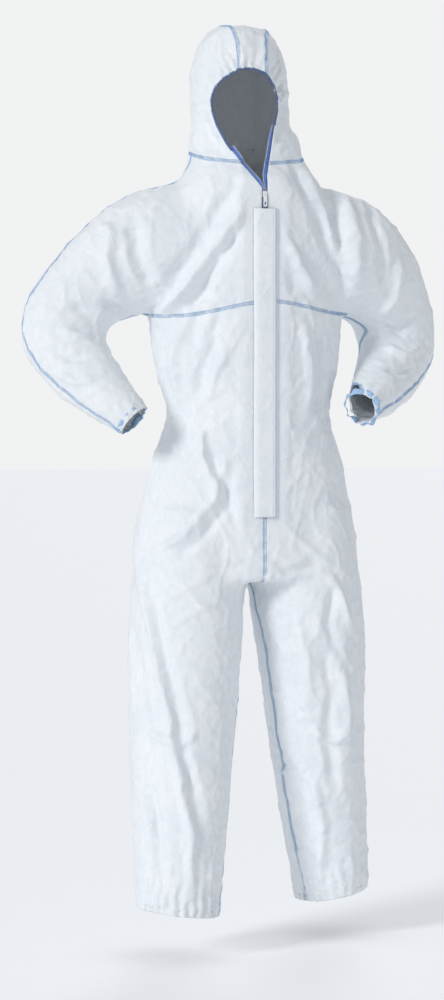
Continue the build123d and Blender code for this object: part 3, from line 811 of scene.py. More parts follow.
@dataclass
class Pattern:
    """Where the panels meet, and the cuts that part them, in metres."""

    form: SuitForm
    neck_height: float = 1.46
    neck_rise: float = math.tan(math.radians(12.0))
    crown_centre: float = -0.008
    crown_lean: float = 0.11
    # The face opening in the view's plane, in millimetres. Its lowest corner is the V's tip at the zip.
    face: tuple = ((-11, 1614), (-44, 1596), (-60, 1578), (-66, 1560), (-65, 1540), (-55, 1509), (-36, 1474),
                   (0, 1426), (35.67, 1384), (41, 1420), (49, 1462), (56, 1509), (59.5, 1540), (59, 1566),
                   (50, 1590), (36, 1606), (14, 1615))

    def over_neck(self, place: Vector) -> float:
        """How far a place lies over the neck seam."""
        return place.z - self.neck_height - self.neck_rise * place.y

    def chest(self, place: Vector) -> float:
        """Height of the chest seam, which bows up at the zip."""
        bow = 1.151 + 0.024 * smoothstep(abs(place.x - 0.01), 0.17, 0.0) + 0.02 * place.x
        return 1.152 + (bow - 1.152) * smoothstep(place.y, 0.03, -0.05)

    def arm_middle(self, place: Vector) -> float:
        """Where front meets back along the shoulder, the sleeve and the side."""
        sleeve = self.form.sleeve_left if place.x > 0 else self.form.sleeve_right
        upper = sleeve[:5]
        lower = sleeve[4:]
        out = [abs(row[0]) * MM for row in upper]
        deep = [row[1] * MM for row in upper]
        by_width = float(np.interp(abs(place.x), out, deep))
        heights = [row[2] * MM for row in lower][::-1]
        by_height = float(np.interp(place.z, heights, [row[1] * MM for row in lower][::-1]))
        elbow = upper[-1][2] * MM
        share = smoothstep(place.z, elbow - 0.01, elbow + 0.03)
        return share * by_width + (1 - share) * by_height

    def crown_middle(self, place: Vector) -> float:
        """The crown panel's centre line."""
        return self.crown_centre + place.y * self.crown_lean

    def crown_half(self, place: Vector) -> float:
        """The crown panel's half width, which grows from the brow to the top."""
        return 0.026 + 0.016 * smoothstep(place.y, -0.105, -0.02)

    def leg_middle(self, place: Vector) -> float:
        """Where the inseam runs on each leg."""
        rows = self.form.leg_left if place.x > 0 else self.form.leg_right
        heights = [row[0] * MM for row in rows][::-1]
        middle = float(np.interp(place.z, heights, [row[2] * MM for row in rows][::-1]))
        return middle - 0.03 * smoothstep(place.z, 0.66, 0.5)

    def is_trouser(self, place: Vector) -> bool:
        """Whether a place lies on the trousers."""
        return place.z < self.chest(place) and (abs(place.x) < 0.2 or place.z < 0.915)

    def on_crown(self, place: Vector) -> bool:
        """Whether the crown's seams run here."""
        return place.y > 0.0 or place.z > 1.59

    def panel_of(self, place: Vector) -> Panel:
        """The panel that holds a place."""
        left = place.x > 0
        if self.is_trouser(place):
            return Panel.TROUSER_LEFT if left else Panel.TROUSER_RIGHT
        if abs(place.x) < 0.2 and self.over_neck(place) > 0:
            away = place.x - self.crown_middle(place)
            if self.on_crown(place) and abs(away) < self.crown_half(place):
                return Panel.CROWN
            left = away > 0 if self.on_crown(place) or place.z > 1.5 else left
            return Panel.HOOD_LEFT if left else Panel.HOOD_RIGHT
        if place.y < self.arm_middle(place):
            return Panel.FRONT_LEFT if left else Panel.FRONT_RIGHT
        return Panel.BACK_LEFT if left else Panel.BACK_RIGHT

    def cut_out(self, skin: bpy.types.Object) -> bmesh.types.BMesh:
        """Cuts the skin along every seam and opens the face and the zip."""
        bm = bmesh.new()
        bm.from_mesh(skin.data)
        centre = bmesh.types.BMFace.calc_center_median
        tilt = Vector((0, -self.neck_rise, 1)).normalized()
        cut(bm, [f for f in bm.faces if centre(f).z > 1.39 and abs(centre(f).x) < 0.2],
            Vector((0, 0, self.neck_height)), tilt)
        cut_along(bm, [f for f in bm.faces if abs(centre(f).x) < 0.205 and 1.1 < centre(f).z < 1.22], 2,
                  self.chest)
        cut(bm, [f for f in bm.faces if abs(centre(f).x) < 0.03 and centre(f).z < 1.56],
            Vector(), Vector((1, 0, 0)))
        cut_along(bm, [f for f in bm.faces if not self.is_trouser(centre(f))
                       and self.over_neck(centre(f)) < 0],
                  1, self.arm_middle)
        for side in (-1, 1):
            cut_along(bm, [f for f in bm.faces if self.over_neck(centre(f)) > 0 and self.on_crown(centre(f))
                           and abs(centre(f).x) < 0.12],
                      0, lambda place, side=side: self.crown_middle(place) + side * self.crown_half(place))
            cut_along(bm, [f for f in bm.faces if centre(f).z < 0.66 and self.inner(centre(f), side)],
                      1, self.leg_middle)
        self.open_face(bm)
        self.open_zip(bm)
        return bm

    def inner(self, place: Vector, side: int) -> bool:
        """Whether a place is on one leg's inner half."""
        rows = self.form.leg_left if side > 0 else self.form.leg_right
        heights = [row[0] * MM for row in rows][::-1]
        middle = float(np.interp(place.z, heights, [row[1] * MM for row in rows][::-1]))
        return 0 < place.x * side < middle * side

    def open_face(self, bm: bmesh.types.BMesh) -> None:
        """Cuts the face opening, one straight side after the other."""
        corners = [VIEW_RIGHT * (u * MM) + Vector((0, 0, z * MM)) for u, z in self.face]
        inside = {f for f in bm.faces if f.calc_center_median().z > 1.37
                  and f.calc_center_median().dot(VIEW_AHEAD) < -0.01
                  and abs(f.calc_center_median().x) < 0.1}
        for start, end in zip(corners, [*corners[1:], corners[0]]):
            outward = VIEW_AHEAD.cross(end - start).normalized()
            made = cut(bm, inside, start, outward)
            touched = {item for item in made["geom"] if isinstance(item, bmesh.types.BMFace)}
            inside = {f for f in touched if (f.calc_center_median() - start).dot(outward) < 0}
        bmesh.ops.delete(bm, geom=list(inside), context="FACES")

    def open_zip(self, bm: bmesh.types.BMesh) -> None:
        """Parts the two fronts where the zip lies."""
        form = self.form
        centre = bmesh.types.BMFace.calc_center_median
        for place, normal in ((Vector((form.zip_edge, 0, 0)), Vector((1, 0, 0))),
                              (Vector((-form.zip_edge, 0, 0)), Vector((1, 0, 0))),
                              (Vector((0, 0, form.zip_bottom - 0.004)), Vector((0, 0, 1)))):
            near = [f for f in bm.faces if abs(centre(f).x) < 0.02 and centre(f).y < 0
                    and form.zip_bottom - 0.02 < centre(f).z < 1.45]
            cut(bm, near, place, normal)
        gap = [f for f in bm.faces if abs(centre(f).x) < form.zip_edge and centre(f).y < -0.06
               and form.zip_bottom - 0.004 < centre(f).z < 1.45]
        bmesh.ops.delete(bm, geom=gap, context="FACES")


@dataclass
class Line:
    """A line on the cloth: its points and the outward direction at each."""

    points: list[Vector]
    normals: list[Vector]

    def even(self, step: float, soften: int = 3) -> "Line":
        """The same line softened, with its points evenly spaced.

        Args:
            step: the distance between points.
            soften: how many times neighbours are averaged.
        Returns:
            The new line.
        """
        points, normals = list(self.points), list(self.normals)
        for _ in range(soften):
            for row in (points, normals):
                row[1:-1] = [(a + 2 * b + c) / 4 for a, b, c in zip(row, row[1:], row[2:])]
        gone = [0.0]
        for a, b in zip(points, points[1:]):
            gone.append(gone[-1] + (b - a).length)
        count = max(int(gone[-1] / step), 2)
        where = np.linspace(0, gone[-1], count + 1)
        table = np.array([[*p, *n] for p, n in zip(points, normals)])
        rows = np.stack([np.interp(where, gone, table[:, k]) for k in range(6)], axis=1)
        return Line([Vector(r[:3]) for r in rows], [Vector(r[3:]).normalized() for r in rows])

    def sides(self) -> list[Vector]:
        """The sideways direction at each point, square to the line and in the cloth."""
        ways = [b - a for a, b in zip([self.points[0], *self.points], [*self.points[1:], self.points[-1]])]
        return [normal.cross(way).normalized() for normal, way in zip(self.normals, ways)]

    def length(self) -> float:
        """Length in metres."""
        return sum((b - a).length for a, b in zip(self.points, self.points[1:]))


def chains(edges: Iterable[bmesh.types.BMEdge]) -> list[Line]:
    """Joins loose edges end to end into lines."""
    left = set(edges)
    out = []
    while left:
        at = {}
        for edge in left:
            for vert in edge.verts:
                at.setdefault(vert, []).append(edge)
        ends = [vert for vert, near in at.items() if len(near) != 2]
        vert = min(ends or at, key=lambda v: (round(v.co.z, 5), round(v.co.x, 5), round(v.co.y, 5)))
        path = [vert]
        while True:
            near = [edge for edge in at.get(vert, []) if edge in left]
            if not near:
                break
            edge = min(near, key=lambda e: (e.calc_length(), round(e.other_vert(vert).co.z, 5)))
            left.discard(edge)
            vert = edge.other_vert(vert)
            path.append(vert)
        if len(path) > 3:
            out.append(Line([v.co.copy() for v in path], [v.normal.copy() for v in path]))
    return out


@dataclass(frozen=True)
class Pull:
    """How a seam or an elastic draws the cloth beside it, in metres.

    reach is how far it acts, sink how far the cloth stands up or dips along it, pleat the height of
    the pleats, spacing the distance between them, and between the heights where pleats set in.
    """

    reach: float
    sink: float
    pleat: float
    spacing: float
    between: tuple[float, float] = (-2.0, -1.0)
    step: float = 0.004

    def rise(self, place: Vector, index: int, far: float) -> float:
        """How far a point rises.

        Args:
            place: the point.
            index: the nearest step along the line.
            far: how far away that is.
        Returns:
            The rise, in metres.
        """
        along = index * self.step + 0.006 * noise.noise(place * 30)
        strength = 0.6 + 0.8 * noise.noise(place * 12 + Vector((5, 5, 5)))
        wave = math.sin(2 * math.pi * along / self.spacing) * strength
        fade = math.exp(-far / self.reach) * (1.0 - 0.6 * math.exp(-far / 0.01))
        fade *= smoothstep(place.z, *self.between)
        return self.sink * math.exp(-(far / self.reach) ** 2) + self.pleat * wave * fade


@dataclass
class Cloth:
    """The cut panels: their meshes, their seams and their edges."""

    form: SuitForm
    pattern: Pattern
    wardrobe: Wardrobe
    thickness: float = 0.0005
    panels: dict[Panel, bpy.types.Object] = field(default_factory=dict)
    seams: dict[str, list[Line]] = field(default_factory=dict)
    face_edge: list[Line] = field(default_factory=list)
    ends: dict[str, list[Line]] = field(default_factory=dict)

    flats = {
        Panel.TROUSER_LEFT: (0.78, 1.20, 0.80), Panel.TROUSER_RIGHT: (0.78, 1.20, 0.80),
        Panel.FRONT_LEFT: (0.36, 0.72, 0.185), Panel.FRONT_RIGHT: (0.36, 0.72, 0.185),
        Panel.BACK_LEFT: (0.38, 0.74, 0.20), Panel.BACK_RIGHT: (0.38, 0.74, 0.20),
        Panel.HOOD_LEFT: (0.27, 0.31, 0.062), Panel.HOOD_RIGHT: (0.27, 0.31, 0.062),
        Panel.CROWN: (0.085, 0.50, 0.038),
    }

    def build(self) -> None:
        """Makes the skin, cuts it, sinks the seams and parts the panels."""
        skin = self.form.make()
        LOG.info("the whole form has %d points", len(skin.data.vertices))
        bm = self.pattern.cut_out(skin)
        bpy.data.objects.remove(skin)
        bm.normal_update()
        owner = {face: self.pattern.panel_of(face.calc_center_median()) for face in bm.faces}
        self.find_lines(bm, owner)
        self.gather(bm)
        bm.normal_update()
        self.seams.clear()
        self.face_edge.clear()
        self.ends.clear()
        self.find_lines(bm, owner)
        for panel in Panel:
            self.part([face for face in bm.faces if owner[face] is panel], panel)
        bm.free()

    def find_lines(self, bm: bmesh.types.BMesh, owner: dict) -> None:
        """Collects seams between panels, and open edges.

        Args:
            bm: the cut skin.
            owner: the panel of each face.
        """
        seams: dict[str, list] = {}
        ends: dict[str, list] = {"cuff_elastic_right": [], "cuff_elastic_left": [],
                                 "ankle_elastic_right": [], "ankle_elastic_left": [], "face": []}
        for edge in bm.edges:
            near = edge.link_faces
            middle = (edge.verts[0].co + edge.verts[1].co) / 2
            if len(near) == 1:
                name = self.end_name(middle)
                if name:
                    ends[name].append(edge)
            elif len(near) == 2:
                name = self.seam_name(owner[near[0]], owner[near[1]], middle, near)
                if name:
                    seams.setdefault(name, []).append(edge)
        self.seams.update({name: chains(edges) for name, edges in seams.items()})
        self.face_edge.extend(chains(ends.pop("face")))
        self.ends.update({name: chains(edges) for name, edges in ends.items()})

    def end_name(self, place: Vector) -> str:
        """Names an open edge by where it lies."""
        side = "left" if place.x > 0 else "right"
        if place.z < 0.06:
            return f"ankle_elastic_{side}"
        if abs(place.x) > 0.14 and place.z < 1.1:
            return f"cuff_elastic_{side}"
        return "face" if place.z > self.form.zip_top - 0.001 else ""

    def seam_name(self, one: Panel, two: Panel, place: Vector, near: Sequence) -> str:
        """Names the seam between two faces, or nothing where there is none."""
        pair = {one, two}
        side = "left" if place.x > 0 else "right"
        if one is two:
            if one not in (Panel.TROUSER_LEFT, Panel.TROUSER_RIGHT) or place.z > 0.655:
                return ""
            levels = [f.calc_center_median() for f in near]
            ahead = [p.y < self.pattern.leg_middle(p) for p in levels]
            inner = self.pattern.inner(place, 1 if place.x > 0 else -1)
            return f"inseam_{side}" if ahead[0] != ahead[1] and inner else ""
        hood = {Panel.HOOD_LEFT, Panel.HOOD_RIGHT, Panel.CROWN}
        legs = {Panel.TROUSER_LEFT, Panel.TROUSER_RIGHT}
        if pair == legs:
            crotch = self.pattern.leg_middle(Vector((0.01, 0, 0.64)))
            return "centre_front_seam" if place.y < crotch else "seat_seam"
        if pair <= hood:
            if Panel.CROWN not in pair:
                return ""
            return "hood_crown_seam_left" if Panel.HOOD_LEFT in pair else "hood_crown_seam_right"
        if pair & hood:
            return "neck_seam"
        if pair & legs:
            return "chest_seam"
        if pair == {Panel.BACK_LEFT, Panel.BACK_RIGHT}:
            return "upper_back_seam"
        if pair in ({Panel.FRONT_LEFT, Panel.BACK_LEFT}, {Panel.FRONT_RIGHT, Panel.BACK_RIGHT}):
            return f"{'sleeve_top' if self.on_top(place) else 'underarm'}_seam_{side}"
        return ""

    def on_top(self, place: Vector) -> bool:
        """Whether a place is on the shoulder side of the sleeve and not on its inner side."""
        sleeve = self.form.sleeve_left if place.x > 0 else self.form.sleeve_right
        rows = [Vector((abs(row[0]), row[2])) * MM for row in sleeve]
        spot = Vector((abs(place.x), place.z))
        best, outside = 1e9, True
        for a, b in zip(rows, rows[1:]):
            share = min(max((spot - a).dot(b - a) / (b - a).length_squared, 0), 1)
            away = spot - a - (b - a) * share
            if away.length < best:
                best = away.length
                outside = away.dot(Vector((-(b - a).y, (b - a).x))) > 0
        return outside

    def gather(self, bm: bmesh.types.BMesh) -> None:
        """Sinks the cloth at each seam, and pleats it where elastic draws it in."""
        lift: dict = {}
        crown, seam = Pull(0.012, 0.0035, 0.0004, 0.024), Pull(0.007, -0.0014, 0.0009, 0.024)
        pulls = [(line, crown if "crown" in name else seam)
                 for name, rows in self.seams.items() for line in rows]
        pulls += [(line, Pull(0.046, 0.0, 0.0082, 0.0155, (1.5, 1.57))) for line in self.face_edge]
        pulls += [(line, Pull(0.05, 0.0, 0.0042, 0.019)) for rows in self.ends.values() for line in rows]
        pulls += [(self.waist_line(), Pull(0.05, -0.002, 0.0045, 0.024))]
        for line, pull in pulls:
            reach = pull.reach
            even = line.even(pull.step, 0)
            tree = kdtree.KDTree(len(even.points))
            for index, point in enumerate(even.points):
                tree.insert(point, index)
            tree.balance()
            low = Vector(map(min, zip(*even.points))) - Vector((1, 1, 1)) * 3 * reach
            high = Vector(map(max, zip(*even.points))) + Vector((1, 1, 1)) * 3 * reach
            for vert in bm.verts:
                place = vert.co
                if not all(low[k] < place[k] < high[k] for k in range(3)):
                    continue
                _, index, far = tree.find(place)
                if far > 3 * reach:
                    continue
                lift[vert] = lift.get(vert, 0.0) + pull.rise(place, index, far) * self.beside_zip(place)
        for vert, rise in lift.items():
            vert.co += vert.normal * rise

    @staticmethod
    def beside_zip(place: Vector) -> float:
        """Less than 1 on the flat strip under the zip, where nothing may rise."""
        if place.y > 0 or not 0.76 < place.z < 1.4:
            return 1.0
        return smoothstep(abs(place.x), 0.027, 0.05)

    @staticmethod
    def waist_line() -> Line:
        """The waist elastic's line at each side and round the back."""
        points, normals = [], []
        for degree in range(-35, 216, 4):
            angle = math.radians(degree)
            points.append(Vector((0.158 * math.cos(angle), 0.108 * math.sin(angle) - 0.009, 0.958)))
            normals.append(Vector((math.cos(angle), math.sin(angle), 0)))
        return Line(points, normals)

    def part(self, faces: list, panel: Panel) -> None:
        """Makes one panel's own object.

        Args:
            faces: the panel's faces.
            panel: which panel it is.
        """
        piece = bmesh.new()
        made: dict = {}
        for face in faces:
            for vert in face.verts:
                if vert not in made:
                    made[vert] = piece.verts.new(vert.co)
        for face in faces:
            new = piece.faces.new([made[vert] for vert in face.verts])
            new.smooth = True
        self.keep_largest(piece)
        item = object_from(piece, f"{panel.value}_cloth")
        wall = item.modifiers.new("wall", "SOLIDIFY")
        wall.thickness = self.thickness
        wall.offset = -1.0
        self.wardrobe.dress(item, Finish.CLOTH)
        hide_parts(panel.value)
        hood = panel in (Panel.HOOD_LEFT, Panel.HOOD_RIGHT, Panel.CROWN)
        if hood:
            hood_bend(item)
        else:
            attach(item, "suit")
        self.panels[panel] = item
        total = sum(face.area for face in item.data.polygons)
        LOG.info("%s: %d faces, %.3f square metres", item.name, len(item.data.polygons), total)

    @staticmethod
    def keep_largest(bm: bmesh.types.BMesh) -> None:
        """Removes specks that a cut left beside the panel."""
        left, groups = set(bm.verts), []
        while left:
            start = next(iter(left))
            group, edge = {start}, [start]
            while edge:
                vert = edge.pop()
                for link in vert.link_edges:
                    other = link.other_vert(vert)
                    if other not in group:
                        group.add(other)
                        edge.append(other)
            left -= group
            groups.append(group)
        biggest = max(groups, key=len)
        bmesh.ops.delete(bm, geom=[v for v in bm.verts if v not in biggest], context="VERTS")


def hood_bend(piece: bpy.types.Object) -> None:
    """Bakes a hood piece's placing into its mesh, and leaves it on no body."""
    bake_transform(piece)


@dataclass
class Stitching:
    """Overlock seams: two rails of yarn with a rung at each stitch."""

    wardrobe: Wardrobe
    half_width: float = 2.9 * MM
    yarn: float = 0.55 * MM
    stitch: float = 4.6 * MM
    lift: float = 0.7 * MM

    def sew(self, name: str, lines: Sequence[Line], node: str, hood: bool = False) -> bpy.types.Object:
        """Sews one named seam.

        Args:
            name: the piece's name.
            lines: the lines that the seam follows.
            node: the frame node that it stands for.
            hood: whether it is a hood piece, whose placing is baked into its mesh.
        Returns:
            The seam.
        """
        curve = bpy.data.curves.new(name, "CURVE")
        curve.dimensions = "3D"
        curve.bevel_depth = self.yarn
        curve.bevel_resolution = 0
        for line in lines:
            if line.length() < 0.012:
                continue
            even = line.even(self.stitch / 2, 4)
            sides = even.sides()
            lifted = [p + n * self.lift for p, n in zip(even.points, even.normals)]
            for way in (-1, 1):
                rail = [p + s * (way * self.half_width) for p, s in zip(lifted, sides)]
                self.add(curve, rail)
            for k in range(1, len(lifted) - 1, 2):
                left = lifted[k] - sides[k] * self.half_width
                right = lifted[k + 1] + sides[k + 1] * self.half_width
                middle = (left + right) / 2 + even.normals[k] * 0.0002
                self.add(curve, [left, middle, right])
        loose = bpy.data.objects.new(name, curve)
        bpy.context.scene.collection.objects.link(loose)
        mesh = bpy.data.meshes.new_from_object(loose.evaluated_get(bpy.context.evaluated_depsgraph_get()))
        bpy.data.objects.remove(loose)
        piece = bpy.data.objects.new(name, mesh)
        bpy.context.scene.collection.objects.link(piece)
        self.wardrobe.dress(piece, Finish.THREAD)
        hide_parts(node)
        if hood:
            hood_bend(piece)
        else:
            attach(piece, "suit")
        LOG.info("%s: %.2f m of seam", name, sum(line.length() for line in lines))
        return piece

    @staticmethod
    def add(curve: bpy.types.Curve, points: Sequence[Vector]) -> None:
        """Adds one run of yarn."""
        run = curve.splines.new("POLY")
        run.points.add(len(points) - 1)
        for spot, place in zip(run.points, points):
            spot.co = (*place, 1.0)


@dataclass
class Ribbon:
    """A flat band swept along a line on the cloth."""

    wardrobe: Wardrobe

    def sweep(self, name: str, line: Line, inner: float, outer: float, lift: float, thick: float,
              finish: Finish, rows: int = 3, ripple: float = 0.0) -> bpy.types.Object:
        """Sweeps a band.

        Args:
            name: the piece's name.
            line: the line that it follows.
            inner: one edge's distance from the line, to its side.
            outer: the other edge's distance.
            lift: how far it lies over the cloth.
            thick: its thickness.
            finish: its finish.
            rows: how many points lie across it.
            ripple: how far its outer edge waves.
        Returns:
            The band.
        """
        bm = bmesh.new()
        sides = line.sides()
        offsets = np.linspace(inner, outer, rows)
        made = bmesh.ops.create_grid(bm, x_segments=len(line.points) - 1, y_segments=rows - 1, size=1.0)
        run = sorted(made["verts"], key=lambda v: (round(v.co.x, 6), round(v.co.y, 6)))
        for index, vert in enumerate(run):
            at, across = divmod(index, rows)
            wave = ripple * math.sin(at * 1.1) * across / max(rows - 1, 1)
            vert.co = (line.points[at] + sides[at] * float(offsets[across])
                       + line.normals[at] * (lift + wave))
        for face in bm.faces:
            face.smooth = True
        bm.normal_update()
        middle = bm.faces[:][len(bm.faces) // 2]
        place = middle.calc_center_median()
        near = min(range(len(line.points)), key=lambda k: (line.points[k] - place).length)
        if middle.normal.dot(line.normals[near]) < 0:
            bmesh.ops.reverse_faces(bm, faces=bm.faces)
        piece = object_from(bm, name)
        wall = piece.modifiers.new("wall", "SOLIDIFY")
        wall.thickness = thick
        wall.offset = 0.0
        self.wardrobe.dress(piece, finish)
        return piece


@dataclass
class Closure:
    """The zip: its woven tapes, coils, slider, pull and stops."""

    cloth: Cloth
    ribbon: Ribbon
    step: float = 4.0 * MM
    under: float = 4.5 * MM
    reach: float = 4.4 * MM
    tape_depth: float = 2.3 * MM
    tape_thick: float = 0.6 * MM
    coil_out: float = 3.7 * MM
    coil_depth: float = 1.0 * MM
    pitch: float = 2.1 * MM
    tops: tuple = ((-1, 1.468), (1, 1.513))

    def build(self) -> None:
        """Makes both halves, and repaints the slider, pull and stops."""
        for side, top in self.tops:
            self.half(side, top)
        for node in ("zip_slider", "zip_pull", "zip_bottom_stop",
                     "zip_top_stop_left", "zip_top_stop_right"):
            self.cloth.wardrobe.repaint(node, Finish.SLIDER)
            LOG.info("%s repainted", node)

    def edge(self, side: int, top: float) -> Line:
        """The cloth edge beside one half of the zip, from the bottom stop to the half's top."""
        form = self.cloth.form
        points = [Vector((side * form.zip_edge, -form.front * MM, z))
                  for z in np.arange(form.zip_bottom, form.zip_top, self.step)]
        normals = [Vector((0, -1, 0))] * len(points)
        chain = max(self.cloth.face_edge, key=Line.length)
        pairs = list(zip(chain.points, chain.normals))
        crest = max(range(len(pairs)), key=lambda k: pairs[k][0].z)
        for run in (pairs[:crest], pairs[crest:][::-1]):
            if run and (run[0][0].x > 0) == (side > 0):
                for point, normal in run:
                    if form.zip_top + 0.002 < point.z < top:
                        points.append(point)
                        normals.append(normal)
        line = Line(points, normals).even(self.step, 4)
        wide = [4.0 * MM * smoothstep(p.z, form.zip_top, form.zip_top + 0.02) for p in line.points]
        shifted = [p + s * (side * w) for p, s, w in zip(line.points, line.sides(), wide)]
        return Line(shifted, line.normals)

    def half(self, side: int, top: float) -> None:
        """Makes one tape and one coil, each in a suit part and a hood part."""
        word = "left" if side > 0 else "right"
        line = self.edge(side, top)
        over = [self.cloth.pattern.over_neck(p) > 0 for p in line.points]
        turn = over.index(True) if True in over else len(over)
        parts = (("zip", slice(0, turn + 1)), ("hood_zip", slice(turn, None)))
        for prefix, span in parts:
            part = Line(line.points[span], line.normals[span])
            if len(part.points) < 3:
                LOG.warning("%s %s half is too short", prefix, word)
                continue
            tape = self.ribbon.sweep(f"{prefix}_tape_{word}_woven", part,
                                     -side * self.under, side * self.reach,
                                     -self.tape_depth, self.tape_thick, Finish.TAPE, rows=4)
            coil = self.coil(f"{prefix}_coil_{word}_wound", part, side)
            for piece, node in ((tape, f"{prefix}_tape_{word}"), (coil, f"{prefix}_coil_{word}")):
                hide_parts(node)
                if prefix == "zip":
                    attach(piece, "suit")
                else:
                    hood_bend(piece)
                LOG.info("%s made", piece.name)

    def coil(self, name: str, line: Line, side: int) -> bpy.types.Object:
        """Winds one coil beside the tape's inner edge."""
        even = line.even(self.pitch / 6, 2)
        sides = even.sides()
        curve = bpy.data.curves.new(name, "CURVE")
        curve.dimensions = "3D"
        curve.bevel_depth = 0.33 * MM
        curve.bevel_resolution = 0
        points = []
        for index, (point, normal, across) in enumerate(zip(even.points, even.normals, sides)):
            angle = index * math.pi / 3
            points.append(point + across * side * (self.coil_out + 1.15 * MM * math.cos(angle))
                          + normal * (-self.coil_depth + 0.5 * MM * math.sin(angle)))
        Stitching.add(curve, points)
        loose = bpy.data.objects.new(name, curve)
        bpy.context.scene.collection.objects.link(loose)
        mesh = bpy.data.meshes.new_from_object(loose.evaluated_get(bpy.context.evaluated_depsgraph_get()))
        bpy.data.objects.remove(loose)
        piece = bpy.data.objects.new(name, mesh)
        bpy.context.scene.collection.objects.link(piece)
        self.cloth.wardrobe.dress(piece, Finish.COIL)
        return piece


@dataclass
class StormFlap:
    """The folded strip of cloth over the zip, its sewn base and its seam."""

    wardrobe: Wardrobe
    stitching: Stitching
    ribbon: Ribbon
    free_edge: float = -22.0 * MM
    sewn_edge: float = 15.8 * MM
    base_far: float = 27.0 * MM
    crest: float = 128.6 * MM
    front: float = 122.0 * MM
    ply: float = 0.9 * MM

    def build(self) -> None:
        """Makes the flap, the base and the seam."""
        low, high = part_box("storm_flap")
        bm = bmesh.new()
        bmesh.ops.create_grid(bm, x_segments=14, y_segments=150, size=1.0)
        for vert in bm.verts:
            across, along = (vert.co.x + 1) / 2, (vert.co.y + 1) / 2
            x = self.free_edge + across * (self.sewn_edge - self.free_edge)
            z = low.z + along * (high.z - low.z)
            crown = math.sin(math.pi * min(across * 1.12, 1.0)) ** 0.5 if across < 0.89 else 1.0
            drop = (1 - crown) * 4.6 * MM * smoothstep(across, 0.5, 0.0)
            wave = 0.9 * MM * noise.noise(Vector((x * 30, 2.0, z * 9)))
            side = 0.8 * MM * noise.noise(Vector((4.0, 1.0, z * 6))) * (1 - across)
            vert.co = Vector((x + side, -self.crest + drop + wave * (0.4 + 0.6 * (1 - across)), z))
        bm.normal_update()
        if sum(face.normal.y for face in bm.faces) > 0:
            bmesh.ops.reverse_faces(bm, faces=bm.faces)
        for face in bm.faces:
            face.smooth = True
        flap = object_from(bm, "storm_flap_cloth")
        wall = flap.modifiers.new("ply", "SOLIDIFY")
        wall.thickness = self.ply
        wall.offset = 0.0
        round_edge = flap.modifiers.new("fold", "BEVEL")
        round_edge.width = 0.3 * MM
        round_edge.segments = 2
        self.wardrobe.dress(flap, Finish.CLOTH)
        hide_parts("storm_flap")
        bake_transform(flap)
        LOG.info("storm_flap_cloth made")
        self.base(low.z, high.z)

    def base(self, low: float, high: float) -> None:
        """Makes the flap's sewn base and the seam on it."""
        heights = np.arange(low, high + 0.001, 4 * MM)
        line = Line([Vector((self.sewn_edge + 0.2 * MM, -self.crest, z)) for z in heights],
                    [Vector((0, -1, 0))] * len(heights))
        base = self.ribbon.sweep("flap_base_cloth", line, 0.0, -(self.base_far - self.sewn_edge), 0.0,
                                 0.6 * MM, Finish.CLOTH, rows=7)
        for vert in base.data.vertices:
            share = (vert.co.x - self.sewn_edge) / (self.base_far - self.sewn_edge)
            down = smoothstep(share, 0.08, 0.95) * (self.crest - self.front - 0.4 * MM)
            vert.co.y += down + 0.5 * MM * noise.noise(Vector((1.0, share * 3, vert.co.z * 14)))
        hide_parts("flap_base")
        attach(base, "suit")
        seam = Line([Vector((21.0 * MM, -0.1262, z)) for z in heights],
                    [Vector((0.45, -0.9, 0)).normalized()] * len(heights))
        sewn = replace(self.stitching, half_width=1.7 * MM, yarn=0.4 * MM)
        thread = sewn.sew("flap_seam_thread", [seam], "flap_seam")
        pale = Thread("thread_through_cloth", (0.74, 0.81, 0.93), (0.5, 0.6, 0.84))
        thread.data.materials[0] = pale.material()


@dataclass
class Elastics:
    """The elastic at the face, the cuffs, the waist and the ankles."""

    cloth: Cloth
    ribbon: Ribbon
    step: float = 4.0 * MM

    def build(self) -> None:
        """Makes every elastic."""
        self.face()
        for side in ("left", "right"):
            self.end(f"cuff_elastic_{side}", Finish.THREAD)
            self.end(f"ankle_elastic_{side}", Finish.ELASTIC)
        line = self.cloth.waist_line()
        sunk = [p - n * 5 * MM for p, n in zip(line.points, line.normals)]
        inside = Line(sunk, line.normals).even(self.step, 1)
        waist = self.ribbon.sweep("waist_elastic_band", inside, -8 * MM, 8 * MM, 0.0, 0.8 * MM,
                                  Finish.ELASTIC)
        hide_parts("waist_elastic")
        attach(waist, "suit")
        LOG.info("waist_elastic_band made")

    def face(self) -> None:
        """Binds the upper part of the face opening."""
        chain = max(self.cloth.face_edge, key=Line.length)
        crest = max(range(len(chain.points)), key=lambda k: chain.points[k].z)
        keep = []
        for index, point in enumerate(chain.points):
            first_side = index < crest
            on_left = (chain.points[0].x > 0) == first_side
            if point.z > (1.508 if on_left else 1.462):
                keep.append(index)
        line = Line([chain.points[k] for k in keep], [chain.normals[k] for k in keep]).even(self.step, 3)
        band = self.ribbon.sweep("hood_face_binding", line, -2.2 * MM, 2.2 * MM, 0.2 * MM, 1.5 * MM,
                                 Finish.BINDING, rows=5, ripple=0.3 * MM)
        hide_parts("hood_face_elastic")
        hood_bend(band)
        LOG.info("hood_face_binding made")

    def end(self, name: str, finish: Finish) -> None:
        """Makes the elastic band inside one cuff or hem."""
        line = max(self.cloth.ends[name], key=Line.length).even(self.step, 2)
        side = line.sides()[0]
        up = Vector((0, 0, 1)) if name.startswith("ankle") else self.away(name)
        inward = 1 if side.dot(up) > 0 else -1
        band = self.ribbon.sweep(f"{name}_band", line, 0.0, inward * 12 * MM, -1.0 * MM, 0.7 * MM,
                                 finish, rows=4)
        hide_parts(name)
        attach(band, "suit")
        LOG.info("%s made", band.name)

    def away(self, name: str) -> Vector:
        """The direction from a cuff's edge into its sleeve."""
        _, way = self.cloth.form.cuffs[0 if name.endswith("right") else 1]
        return -Vector(way)


